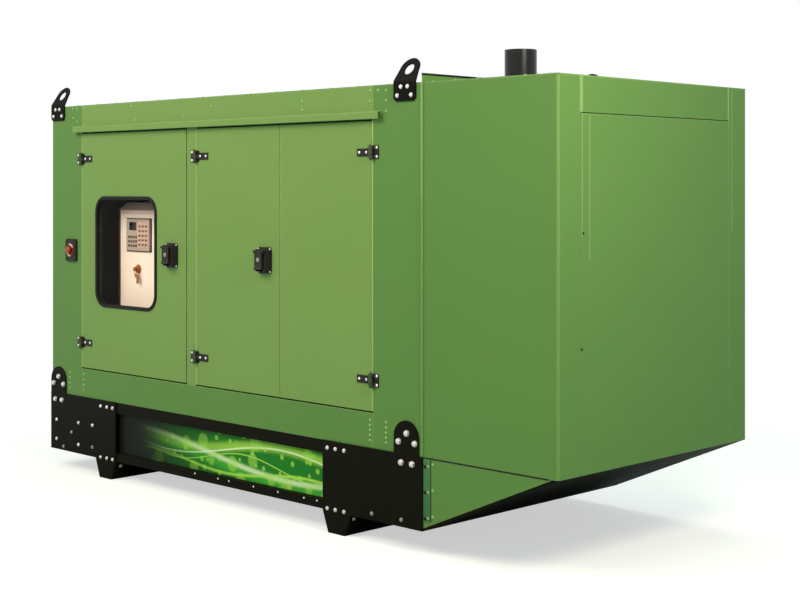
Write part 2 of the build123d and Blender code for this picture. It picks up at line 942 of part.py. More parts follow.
# Drip rails: folded gutters over the doors
with BuildPart() as drip_rails:
    with BuildSketch(Plane.YZ.offset(control_left - drip_rail_overrun)):
        with BuildLine():
            Polyline(
                (y_near, header_height + drip_rail_height - drip_rail_back),
                (y_near, header_height + drip_rail_height),
                (y_near - drip_rail_reach, header_height + drip_rail_height - drip_rail_fall),
                (y_near - drip_rail_reach, header_height),
            )
            offset(amount=canopy_sheet, side=Side.LEFT)
        make_face()
    extrude(amount=pair_right - control_left + 2 * drip_rail_overrun)
    mirror(about=Plane.XZ)
save(drip_rails, "drip_rails")

# Main roof: a sheet over all the walls, with its lining between them
with BuildPart() as roof_panel:
    with BuildSketch(Plane.XY.offset(wall_top)):
        with Locations(((x_left + body_right) / 2, 0)):
            Rectangle(body_right - x_left, body_width)
    extrude(amount=canopy_sheet)
    with BuildSketch(Plane.XY.offset(wall_top)):
        with Locations(((x_left + wall_depth + body_right) / 2, 0)):
            Rectangle(body_right - x_left - wall_depth, 2 * inner_half_width)
    extrude(amount=-lining_depth)
save(roof_panel, "roof_panel")

# Left end wall with the air intake, and the baffle box behind it that is open at the top
baffle_width = 2 * (intake_half_width + baffle_wall)
with BuildPart() as left_end_wall:
    with BuildSketch(Plane.YZ.offset(x_left)):
        with Locations((0, (deck_height + wall_top) / 2)):
            Rectangle(2 * inner_half_width, wall_top - deck_height)
        with Locations((0, (intake_bottom + intake_top) / 2)):
            Rectangle(2 * intake_half_width, intake_top - intake_bottom, mode=Mode.SUBTRACT)
    extrude(amount=wall_depth)
    with BuildSketch(Plane.YZ.offset(x_left + wall_depth)):
        with Locations((0, intake_bottom)):
            Rectangle(
                baffle_width, intake_top + baffle_wall - intake_bottom, align=(Align.CENTER, Align.MIN)
            )
            Rectangle(
                2 * intake_half_width,
                intake_top + baffle_wall - intake_bottom,
                align=(Align.CENTER, Align.MIN),
                mode=Mode.SUBTRACT,
            )
        with Locations((0, intake_bottom)):
            Rectangle(baffle_width, baffle_wall, align=(Align.CENTER, Align.MAX))
    extrude(amount=baffle_gap)
    with BuildSketch(Plane.YZ.offset(x_left + wall_depth + baffle_gap)):
        with Locations((0, intake_bottom - baffle_wall)):
            Rectangle(
                baffle_width, intake_top + 2 * baffle_wall - intake_bottom, align=(Align.CENTER, Align.MIN)
            )
    extrude(amount=baffle_wall)
save(left_end_wall, "left_end_wall")

blade_rise = wall_depth * tan(radians(blade_angle))
blade_room = intake_top - intake_bottom - 2 * intake_rim - blade_rise - blade_thickness
blade_count = int(blade_room / blade_pitch) + 1
first_blade = intake_bottom + intake_rim + (blade_room - (blade_count - 1) * blade_pitch) / 2
with BuildPart() as intake_louvre:
    with BuildSketch(Plane.YZ.offset(x_left)):
        with Locations((0, (intake_bottom + intake_top) / 2)):
            Rectangle(2 * intake_half_width, intake_top - intake_bottom)
            Rectangle(
                2 * (intake_half_width - intake_rim),
                intake_top - intake_bottom - 2 * intake_rim,
                mode=Mode.SUBTRACT,
            )
    extrude(amount=wall_depth)
    with BuildSketch(Plane.XZ):
        for number in range(blade_count):
            low_z = first_blade + number * blade_pitch
            with BuildLine():
                Polyline(
                    (x_left, low_z),
                    (x_left + wall_depth, low_z + blade_rise),
                    (x_left + wall_depth, low_z + blade_rise + blade_thickness),
                    (x_left, low_z + blade_thickness),
                    close=True,
                )
            make_face()
    extrude(amount=intake_half_width - intake_rim / 2, both=True)
save(intake_louvre, "intake_louvre")

# Joint flange between the canopy and the hood, standing proud of the sides and the roof
with BuildPart() as joint_flange:
    with BuildSketch(Plane.YZ.offset(body_right)):
        with Locations((0, deck_height)):
            Rectangle(
                body_width + 2 * flange_proud,
                roof_height + flange_upstand - deck_height,
                align=(Align.CENTER, Align.MIN),
            )
            Rectangle(
                body_width - 2 * flange_depth,
                roof_height - flange_depth - deck_height,
                align=(Align.CENTER, Align.MIN),
                mode=Mode.SUBTRACT,
            )
    extrude(amount=flange_thickness)
save(joint_flange, "joint_flange")

# Hood walls, mitred at the two outer corners
mitre = corner_chamfer / 2
with BuildPart() as hood_side_panels:
    with BuildSketch(Plane.XY.offset(deck_height)):
        with BuildLine():
            Polyline(
                (hood_left, y_near),
                (x_end - corner_chamfer, y_near),
                (x_end - mitre, y_near + mitre),
                (hood_right, y_near + wall_depth),
                (hood_left, y_near + wall_depth),
                close=True,
            )
        make_face()
    extrude(amount=wall_top - deck_height)
    mirror(about=Plane.XZ)
save(hood_side_panels, "hood_side_panels")

with BuildPart() as hood_end_frame:
    with BuildSketch(Plane.XY.offset(deck_height)):
        with BuildLine():
            Polyline(
                (x_end, y_near + corner_chamfer),
                (x_end, y_far - corner_chamfer),
                (x_end - mitre, y_far - mitre),
                (hood_right, y_far - wall_depth),
                (hood_right, y_near + wall_depth),
                (x_end - mitre, y_near + mitre),
                close=True,
            )
        make_face()
    extrude(amount=wall_top - deck_height)
    with BuildSketch(Plane.YZ.offset(x_end - panel_thickness)):
        with Locations((0, deck_height)):
            Rectangle(
                2 * end_panel_half_width, header_height - deck_height, align=(Align.CENTER, Align.MIN)
            )
    extrude(amount=panel_thickness, mode=Mode.SUBTRACT)
    with BuildSketch(Plane.YZ.offset(hood_right)):
        with Locations((0, deck_height)):
            Rectangle(
                2 * (end_panel_half_width - panel_overlap),
                header_height - panel_overlap - deck_height,
                align=(Align.CENTER, Align.MIN),
            )
    extrude(amount=wall_depth, mode=Mode.SUBTRACT)
save(hood_end_frame, "hood_end_frame")

with BuildPart() as hood_end_panel:
    with BuildSketch(Plane.YZ.offset(x_end - panel_thickness)):
        with Locations((0, deck_height)):
            Rectangle(
                2 * (end_panel_half_width - panel_seam),
                header_height - panel_seam - deck_height,
                align=(Align.CENTER, Align.MIN),
            )
    extrude(amount=panel_thickness)
save(hood_end_panel, "hood_end_panel")

# Sloping underside of the hood, with a triangular gusset over each edge of it
slope_rise = deck_height - foot_height
slope_angle = degrees(atan2(slope_rise, hood_length))
underside_drop = underside_thickness / cos(radians(slope_angle))
underside_run = underside_drop / tan(radians(slope_angle))
with BuildPart() as hood_underside:
    with BuildSketch(Plane.XZ):
        with BuildLine():
            Polyline(
                (x_joint, foot_height),
                (x_end, deck_height),
                (x_end - underside_run, deck_height),
                (x_joint, foot_height + underside_drop),
                close=True,
            )
        make_face()
    extrude(amount=body_width / 2, both=True)
save(hood_underside, "hood_underside")

gusset_top = deck_height - gusset_seam
gusset_end = x_joint + (gusset_top - foot_height - underside_drop) / tan(radians(slope_angle))
with BuildPart() as hood_gussets:
    with BuildSketch(facing(y_near + gusset_thickness)):
        with BuildLine():
            Polyline(
                (x_joint, foot_height + underside_drop),
                (gusset_end, gusset_top),
                (x_joint, gusset_top),
                close=True,
            )
        make_face()
    extrude(amount=gusset_thickness)
    mirror(about=Plane.XZ)
save(hood_gussets, "hood_gussets")

# Hood roof with the air outlet and the hole for the exhaust
outlet_left = x_joint + outlet_start
outlet_right = x_end - outlet_margin
outlet_half_width = body_width / 2 - outlet_margin
collar_radius = stub_outer_radius + collar_width
stub_x = hood_left + stub_flange_gap + collar_radius
silencer_width = 2 * (stub_x - hood_left - silencer_gap)
with BuildPart() as hood_roof:
    with BuildSketch(Plane.XY.offset(wall_top)):
        with Locations(((hood_left + x_end) / 2, 0)):
            Rectangle(x_end - hood_left, body_width)
    extrude(amount=canopy_sheet)
    with BuildSketch(Plane.XY.offset(wall_top)):
        with Locations(((hood_left + hood_right) / 2, 0)):
            Rectangle(hood_right - hood_left, 2 * inner_half_width)
    extrude(amount=-lining_depth)
    with BuildSketch(Plane.XY.offset(roof_height)):
        with Locations(((outlet_left + outlet_right) / 2, 0)):
            Rectangle(outlet_right - outlet_left, 2 * outlet_half_width)
        with Locations((stub_x, stub_y)):
            Circle(stub_outer_radius + stub_roof_clearance)
    extrude(amount=-canopy_sheet - lining_depth, mode=Mode.SUBTRACT)
save(hood_roof, "hood_roof")

outlet_length = outlet_right - outlet_left
bar_count = int((outlet_length - 2 * grille_rim) / grille_pitch)
with BuildPart() as outlet_grille:
    with BuildSketch(Plane.XY.offset(roof_height - grille_depth)):
        with Locations(((outlet_left + outlet_right) / 2, 0)):
            Rectangle(outlet_length, 2 * outlet_half_width)
            Rectangle(
                outlet_length - 2 * grille_rim,
                2 * (outlet_half_width - grille_rim),
                mode=Mode.SUBTRACT,
            )
            with GridLocations(grille_pitch, 0, bar_count, 1):
                Rectangle(grille_bar, 2 * outlet_half_width - grille_rim)
    extrude(amount=grille_depth)
save(outlet_grille, "outlet_grille")

# Bulkhead between the engine bay and the hood, open for the radiator
with BuildPart() as bulkhead:
    with BuildSketch(Plane.YZ.offset(body_right - bulkhead_thickness)):
        with Locations((0, deck_height)):
            Rectangle(
                2 * inner_half_width,
                wall_top - lining_depth - deck_height,
                align=(Align.CENTER, Align.MIN),
            )
        with Locations((0, (radiator_bottom + radiator_top) / 2)):
            Rectangle(
                2 * (radiator_half_width - radiator_tank),
                radiator_top - radiator_bottom - 2 * radiator_tank,
                mode=Mode.SUBTRACT,
            )
    extrude(amount=bulkhead_thickness)
save(bulkhead, "bulkhead")


# Lifting lugs: thick plates on the posts, bent inward over the roof, each with a round eye
def lifting_lug(lug_x):
    """One lug on the near side, centred on lug_x."""
    bend_z = roof_height + lug_rise
    bend_centre_y = y_near + lug_bend_radius
    tilt = radians(lug_angle)
    outer = lug_bend_radius + heavy_plate
    inner_start = (y_near, bend_z)
    outer_start = (y_near - heavy_plate, bend_z)
    inner_finish = (bend_centre_y - lug_bend_radius * cos(tilt), bend_z + lug_bend_radius * sin(tilt))
    outer_finish = (bend_centre_y - outer * cos(tilt), bend_z + outer * sin(tilt))
    eye_plane = Plane(
        origin=(lug_x, inner_finish[0], inner_finish[1]),
        x_dir=(1, 0, 0),
        z_dir=(0, -cos(tilt), sin(tilt)),
    )
    with BuildPart() as lug:
        with BuildSketch(facing(y_near)):
            with Locations((lug_x, bend_z)):
                lower = Rectangle(lug_width, lug_drop + lug_rise, align=(Align.CENTER, Align.MAX))
            chamfer(lower.vertices().group_by(Axis.Y)[0], lug_corner)
        extrude(amount=heavy_plate)
        with BuildSketch(Plane.YZ.offset(lug_x - lug_width / 2)):
            with BuildLine():
                Line(inner_start, outer_start)
                RadiusArc(outer_start, outer_finish, outer)
                Line(outer_finish, inner_finish)
                RadiusArc(inner_finish, inner_start, -lug_bend_radius)
            make_face()
        extrude(amount=lug_width)
        with BuildSketch(eye_plane):
            with BuildLine():
                Line((-lug_width / 2, 0), (lug_width / 2, 0))
                Line((lug_width / 2, 0), (lug_eye_radius, lug_eye_reach))
                ThreePointArc(
                    (lug_eye_radius, lug_eye_reach),
                    (0, lug_eye_reach + lug_eye_radius),
                    (-lug_eye_radius, lug_eye_reach),
                )
                Line((-lug_eye_radius, lug_eye_reach), (-lug_width / 2, 0))
            make_face()
            with Locations((0, lug_eye_reach)):
                Circle(lug_hole_radius, mode=Mode.SUBTRACT)
        extrude(amount=heavy_plate)
    return lug.part


left_lug_x = x_left + left_lug_inset + lug_width / 2
right_lug_x = x_joint - right_lug_inset - lug_width / 2
near_lugs = [lifting_lug(left_lug_x), lifting_lug(right_lug_x)]
with BuildPart() as lifting_lugs:
    add(near_lugs)
    mirror(about=Plane.XZ)
save(lifting_lugs, "lifting_lugs")

# Exhaust stub with its weather collar on the hood roof, and the silencer case on its lower end
silencer_z = roof_height - stub_tail
with BuildPart() as exhaust_stub:
    with BuildSketch(Plane.XY.offset(roof_height - stub_tail)):
        with Locations((stub_x, stub_y)):
            Circle(stub_outer_radius)
    extrude(amount=stub_tail + stub_height)
    with BuildSketch(Plane.XY.offset(roof_height)):
        with Locations((stub_x, stub_y)):
            Circle(collar_radius)
    extrude(amount=collar_thickness)
    with BuildSketch(Plane.XY.offset(roof_height - stub_tail)):
        with Locations((stub_x, stub_y)):
            Circle(stub_outer_radius - stub_wall)
    extrude(amount=stub_tail + stub_height, mode=Mode.SUBTRACT)
    with BuildSketch(facing(stub_y - silencer_length / 2)):
        with Locations((stub_x, silencer_z)):
            silencer = Rectangle(silencer_width, silencer_width)
        chamfer(silencer.vertices(), silencer_corner)
    extrude(amount=-silencer_length)
    with BuildSketch(Plane.YZ.offset(body_right)):
        with Locations((stub_y - silencer_length / 3, silencer_z), (stub_y + silencer_length / 3, silencer_z)):
            Rectangle(bracket_width, bracket_width)
    extrude(amount=stub_x - body_right)
save(exhaust_stub, "exhaust_stub")

# Control cabinet on the bay floor, seen through the window
cabinet_left = control_left + cabinet_offset
cabinet_right = cabinet_left + cabinet_width
cabinet_front = y_near + cabinet_set_back
cabinet_top = deck_height + cabinet_height
cabinet_back = -rail_half_gauge - rail_width / 2 - cabinet_rail_gap
with BuildPart() as control_cabinet:
    with BuildSketch(Plane.YZ.offset(cabinet_left)):
        with BuildLine():
            Polyline(
                (cabinet_front, deck_height),
                (cabinet_back, deck_height),
                (cabinet_back, cabinet_top),
                (cabinet_front + cabinet_bevel_depth, cabinet_top),
                (cabinet_front, cabinet_top - cabinet_bevel_height),
                close=True,
            )
        make_face()
    extrude(amount=cabinet_width)
    with BuildSketch(facing(cabinet_front)):
        door_low = deck_height + 2 * cabinet_door_margin
        door_high = cabinet_top - cabinet_bevel_height - cabinet_door_margin
        with Locations(((cabinet_left + cabinet_right) / 2, (door_low + door_high) / 2)):
            cabinet_door = Rectangle(cabinet_width - 2 * cabinet_door_margin, door_high - door_low)
        chamfer(cabinet_door.vertices(), cabinet_door_corner)
    extrude(amount=cabinet_door_proud)
save(control_cabinet, "control_cabinet")

controller_back = cabinet_front - cabinet_door_proud
controller_top = cabinet_top - controller_drop
with BuildPart() as controller:
    with BuildSketch(facing(controller_back)):
        with Locations(
            (
                cabinet_left + controller_offset + controller_width / 2,
                controller_top - controller_height / 2,
            )
        ):
            case = Rectangle(controller_width, controller_height)
        chamfer(case.vertices(), controller_corner)
    extrude(amount=controller_depth)
save(controller, "controller")

# Rails that carry the engine and the alternator
rail_top = deck_height + rail_height
with BuildPart() as engine_rails:
    with BuildSketch(Plane.YZ.offset(rail_left)):
        with Locations((-rail_half_gauge, deck_height), (rail_half_gauge, deck_height)):
            Rectangle(rail_width, rail_height, align=(Align.CENTER, Align.MIN))
    extrude(amount=rail_right - rail_left)
save(engine_rails, "engine_rails")

# Alternator: ribbed drum with an end bell, two feet and a terminal box
with BuildPart() as alternator:
    with BuildSketch(Plane.XZ):
        with BuildLine():
            Polyline(
                (alternator_left, shaft_height),
                (alternator_left, shaft_height + alternator_bell_radius),
                (alternator_left + alternator_bell, shaft_height + alternator_radius),
                (alternator_right, shaft_height + alternator_radius),
                (alternator_right, shaft_height),
                close=True,
            )
        make_face()
    revolve(axis=Axis((0, 0, shaft_height), (1, 0, 0)))
    with BuildSketch(Plane.YZ.offset(alternator_left + alternator_bell)):
        with Locations((-rail_half_gauge, rail_top), (rail_half_gauge, rail_top)):
            Rectangle(rail_width, shaft_height - rail_top, align=(Align.CENTER, Align.MIN))
    extrude(amount=alternator_length - 2 * alternator_bell)
    with BuildSketch(Plane.XY.offset(shaft_height)):
        with Locations(((alternator_left + alternator_right) / 2, 0)):
            Rectangle(terminal_box, terminal_box)
    extrude(amount=alternator_radius + terminal_box_height)
save(alternator, "alternator")

# Engine block with flywheel housing, sump, cylinder heads and rocker covers
with BuildPart() as engine_block:
    with BuildSketch(Plane.YZ.offset(alternator_right)):
        with Locations((0, shaft_height)):
            Circle(flywheel_radius)
    extrude(amount=flywheel_length)
    with BuildSketch(Plane.YZ.offset(flywheel_right)):
        with BuildLine():
            Polyline(
                (-sump_width / 2, sump_bottom),
                (sump_width / 2, sump_bottom),
                (sump_width / 2, sump_bottom + sump_depth),
                (block_width / 2, sump_bottom + sump_depth),
                (block_width / 2, block_top),
                (head_width / 2, block_top),
                (head_width / 2, block_top + head_height),
                (-head_width / 2, block_top + head_height),
                (-head_width / 2, block_top),
                (-block_width / 2, block_top),
                (-block_width / 2, sump_bottom + sump_depth),
                (-sump_width / 2, sump_bottom + sump_depth),
                close=True,
            )
        make_face()
    extrude(amount=block_length)
    rocker_pitch = block_length / rocker_count
    with BuildSketch(Plane.XY.offset(block_top + head_height)) as covers:
        with Locations(((flywheel_right + block_right) / 2, 0)):
            with GridLocations(rocker_pitch, 0, rocker_count, 1):
                Rectangle(rocker_pitch - rocker_gap, rocker_width)
        chamfer(covers.vertices(), rocker_corner)
    extrude(amount=rocker_height, taper=rocker_taper)
    with BuildSketch(Plane.YZ.offset(flywheel_right + engine_foot_length)):
        with Locations((-rail_half_gauge, rail_top), (rail_half_gauge, rail_top)):
            Rectangle(rail_width, engine_foot_height, align=(Align.CENTER, Align.MIN))
    foot_blocks = extrude(amount=engine_foot_length)
    mirror(foot_blocks, about=Plane.YZ.offset((flywheel_right + block_right) / 2))
save(engine_block, "engine_block")

# Radiator: core between two tanks, against the bulkhead
with BuildPart() as radiator:
    with BuildSketch(Plane.YZ.offset(core_left)):
        with Locations((0, (radiator_bottom + radiator_top) / 2)):
            Rectangle(2 * radiator_half_width, radiator_top - radiator_bottom)
    extrude(amount=radiator_core_depth)
    with BuildSketch(Plane.YZ.offset(radiator_right - radiator_tank_depth)):
        for tank_z in (radiator_bottom + radiator_tank / 2, radiator_top - radiator_tank / 2):
            with Locations((0, tank_z)):
                tank = Rectangle(2 * radiator_half_width, radiator_tank)
            chamfer(tank.vertices(), radiator_tank_corner)
    extrude(amount=radiator_tank_depth)
save(radiator, "radiator")

# Fan shroud: a box on the core that narrows to a round mouth, with the fan in it
fan_z = (radiator_bottom + radiator_top) / 2
with BuildPart() as fan_shroud:
    with BuildSketch(Plane.YZ.offset(core_left)):
        with Locations((0, fan_z)):
            Rectangle(2 * radiator_half_width, radiator_top - radiator_bottom - 2 * radiator_tank)
            Circle(fan_radius + fan_tip_gap, mode=Mode.SUBTRACT)
    extrude(amount=-shroud_wall)
    with BuildSketch(Plane.YZ.offset(core_left - shroud_wall)):
        with Locations((0, fan_z)):
            Circle(fan_radius + fan_tip_gap + shroud_wall)
            Circle(fan_radius + fan_tip_gap, mode=Mode.SUBTRACT)
    extrude(amount=shroud_wall - shroud_length)
save(fan_shroud, "fan_shroud")

# Fan on the shaft at the front of the engine
with BuildPart() as fan:
    with BuildSketch(Plane.YZ.offset(fan_left)):
        with Locations((0, fan_z)):
            Circle(fan_hub_radius)
    extrude(amount=fan_depth)
    with BuildSketch(Plane.YZ.offset(fan_left + fan_depth / 2)):
        with Locations((0, fan_z)):
            with PolarLocations(fan_radius / 2, fan_blades):
                Rectangle(fan_radius, fan_hub_radius)
    extrude(amount=shroud_wall)
    with BuildSketch(Plane.YZ.offset(block_right)):
        with Locations((0, fan_z)):
            Circle(fan_hub_radius / 2)
    extrude(amount=fan_shaft_length)
save(fan, "fan")
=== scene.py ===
import math

import bmesh
import bpy
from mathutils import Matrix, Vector


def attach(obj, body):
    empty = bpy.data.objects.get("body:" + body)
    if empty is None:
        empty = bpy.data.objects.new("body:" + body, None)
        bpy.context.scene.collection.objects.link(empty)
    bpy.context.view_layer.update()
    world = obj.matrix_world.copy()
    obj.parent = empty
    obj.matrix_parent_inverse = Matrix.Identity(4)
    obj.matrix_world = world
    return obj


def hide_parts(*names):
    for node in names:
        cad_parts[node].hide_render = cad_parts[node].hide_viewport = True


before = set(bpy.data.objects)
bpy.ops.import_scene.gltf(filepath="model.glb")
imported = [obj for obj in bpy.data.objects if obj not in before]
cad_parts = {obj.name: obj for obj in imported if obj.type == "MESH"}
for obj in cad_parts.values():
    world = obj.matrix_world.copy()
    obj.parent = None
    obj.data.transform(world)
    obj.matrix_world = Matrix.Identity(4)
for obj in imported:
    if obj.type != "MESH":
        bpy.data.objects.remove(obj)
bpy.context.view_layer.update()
print("packed model loaded:", len(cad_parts), "nodes")


# colours and nodes

def linear(code):  # an sRGB hex value as the linear colour that shaders take
    channels = [int(code[i:i + 2], 16) / 255 for i in (0, 2, 4)]
    return [c / 12.92 if c <= 0.04045 else ((c + 0.055) / 1.055) ** 2.4 for c in channels] + [1.0]


def addNode(tree, kind, sockets=None, **settings):  # one node, with its settings, values and incoming links
    node = tree.nodes.new("ShaderNode" + kind)
    node.location = (180 * len(tree.nodes) - 2400, 260)
    for name, value in settings.items():
        setattr(node, name, value)
    for name, value in (sockets or {}).items():
        if isinstance(value, bpy.types.NodeSocket):
            tree.links.new(value, node.inputs[name])
        else:
            node.inputs[name].default_value = value
    return node


def newMaterial(name, sockets):  # a material whose shader already has its constant values
    material = bpy.data.materials.new(name)
    material.use_nodes = True
    shader = material.node_tree.nodes["Principled BSDF"]
    for socket, value in sockets.items():
        shader.inputs[socket].default_value = value
    return material, material.node_tree, shader


def mm(size):  # a texture scale whose features are this many millimetres across
    return 1000 / size


# painted steel

# each coat's edge colour is the paler colour of rubbed folds and also a painted highlight along them
canopyCoat = {
    "colour": "668c4b", "shade": "608746", "dust": "8b9c68", "edge": "a6c888",
    "roughness": (0.36, 0.46), "driftSize": 700, "peelSize": 7, "peelDepth": 0.10, "fold": 5.0,
    "dustShare": 0.10, "rubAndHighlight": 0.65, "gloss": 0.13,
}
# a lighter, yellower green on the doors, the top rail and the mullion: partly a lighter batch of paint, partly
# painted light for the warm lamp light on the upper middle of the near side
doorCoatWithPaintedLight = {
    **canopyCoat, "colour": "829e5a", "shade": "7a9954", "dust": "98a672", "edge": "b3cb92",
}
# pale greens as painted highlights: the bright line along the hood joint on the upper cover strips and the
# rivet heads, a dimmer one on the lower strips
paleHighlightStripCoat = {**canopyCoat, "colour": "98c082", "shade": "90b87a", "edge": "aed098", "fold": 2.0}
dimHighlightStripCoat = {**paleHighlightStripCoat, "colour": "78a360", "shade": "709b58", "edge": "88b070"}
# a darker green for the gusset strips: painted shade of a fold in shadow
shadedGussetStripCoat = {**canopyCoat, "colour": "4b7a50", "shade": "44724a", "edge": "6f9c72", "fold": 2.0}
# a pale green on the posts' folded returns: painted highlight along the hinge-side seams
hingeSideHighlightCoat = {**doorCoatWithPaintedLight, "colour": "a8c47e", "shade": "a0bd76", "edge": "c0d8a0", "fold": 2.0}
baseCoat = {
    "colour": "13120b", "shade": "0f0e08", "dust": "282620", "edge": "403d36",
    "roughness": (0.42, 0.58), "driftSize": 260, "peelSize": 8, "peelDepth": 0.16, "fold": 3.0,
    "dustShare": 0.20, "rubAndHighlight": 0.22, "gloss": 0.05,
}
lugCoat = {**baseCoat, "colour": "080807", "shade": "060606", "dust": "181715", "gloss": 0.06, "rubAndHighlight": 0.3}
cabinetCoat = {
    **canopyCoat, "colour": "e6d8cb", "shade": "dfd0c2", "dust": "d6c8ae", "edge": "f6ecd8",
    "driftSize": 300, "peelSize": 5, "dustShare": 0.15, "rubAndHighlight": 0.3, "fold": 3.0,
}
engineCoat = {
    "colour": "5d6163", "shade": "53585a", "dust": "6b675d", "edge": "7d8082",
    "roughness": (0.35, 0.55), "driftSize": 120, "peelSize": 5, "peelDepth": 0.35, "fold": 4.0,
    "dustShare": 0.35, "rubAndHighlight": 0.35, "gloss": 0.25,
}
alternatorCoat = {**engineCoat, "colour": "414a52", "shade": "3b444b", "peelDepth": 0.25}
railCoat = {**baseCoat, "colour": "242424", "shade": "1e1e1e", "gloss": 0.15}
liningLook = {"colour": "2b2b2a", "shade": "232322", "cell": 34, "depth": 0.9, "hollow": 12, "roughness": 0.95}
weather = {"cloud": 180, "fromTilt": 0.2, "onWalls": 0.15, "foldTurn": (0.995, 0.93)}
insideWalls = {"x": (-1.9485, 1.9475), "y": 0.7095, "z": 2.211}
hoodEnd = {
    "face": 1996, "skin": 6, "locks": ((-575, 1519), (-585, 1010)), "lockRadius": 7, "lockColour": "1d2413",
    # painted highlights along the pressed lines: Y, lowest and highest Z, width in millimetres, and strength
    "lines": ((-589, 2051, 2216, 22, 0.42), (588, 2051, 2216, 10, 0.6), (-530, 1400, 2042, 9, 0.26),
              (622, 1500, 2200, 8, 0.3), (-584, 1500, 2046, 9, 0.26)),
}


def foamRelief(tree, place):  # rows of soft cones, as cut into acoustic foam
    cell = addNode(tree, "TexVoronoi", {"Vector": place, "Scale": mm(liningLook["cell"]), "Randomness": 0.15},
                   feature="SMOOTH_F1").outputs["Distance"]
    return addNode(tree, "Bump", {"Height": cell, "Strength": liningLook["depth"],
                                  "Distance": liningLook["hollow"] / 1000}, invert=True).outputs["Normal"]


def within(tree, value, low, high):  # 1 where a value lies between two limits, else 0
    over = addNode(tree, "Math", {0: value, 1: low}, operation="GREATER_THAN").outputs[0]
    under = addNode(tree, "Math", {0: value, 1: high}, operation="LESS_THAN").outputs[0]
    return addNode(tree, "Math", {0: over, 1: under}, operation="MULTIPLY").outputs[0]


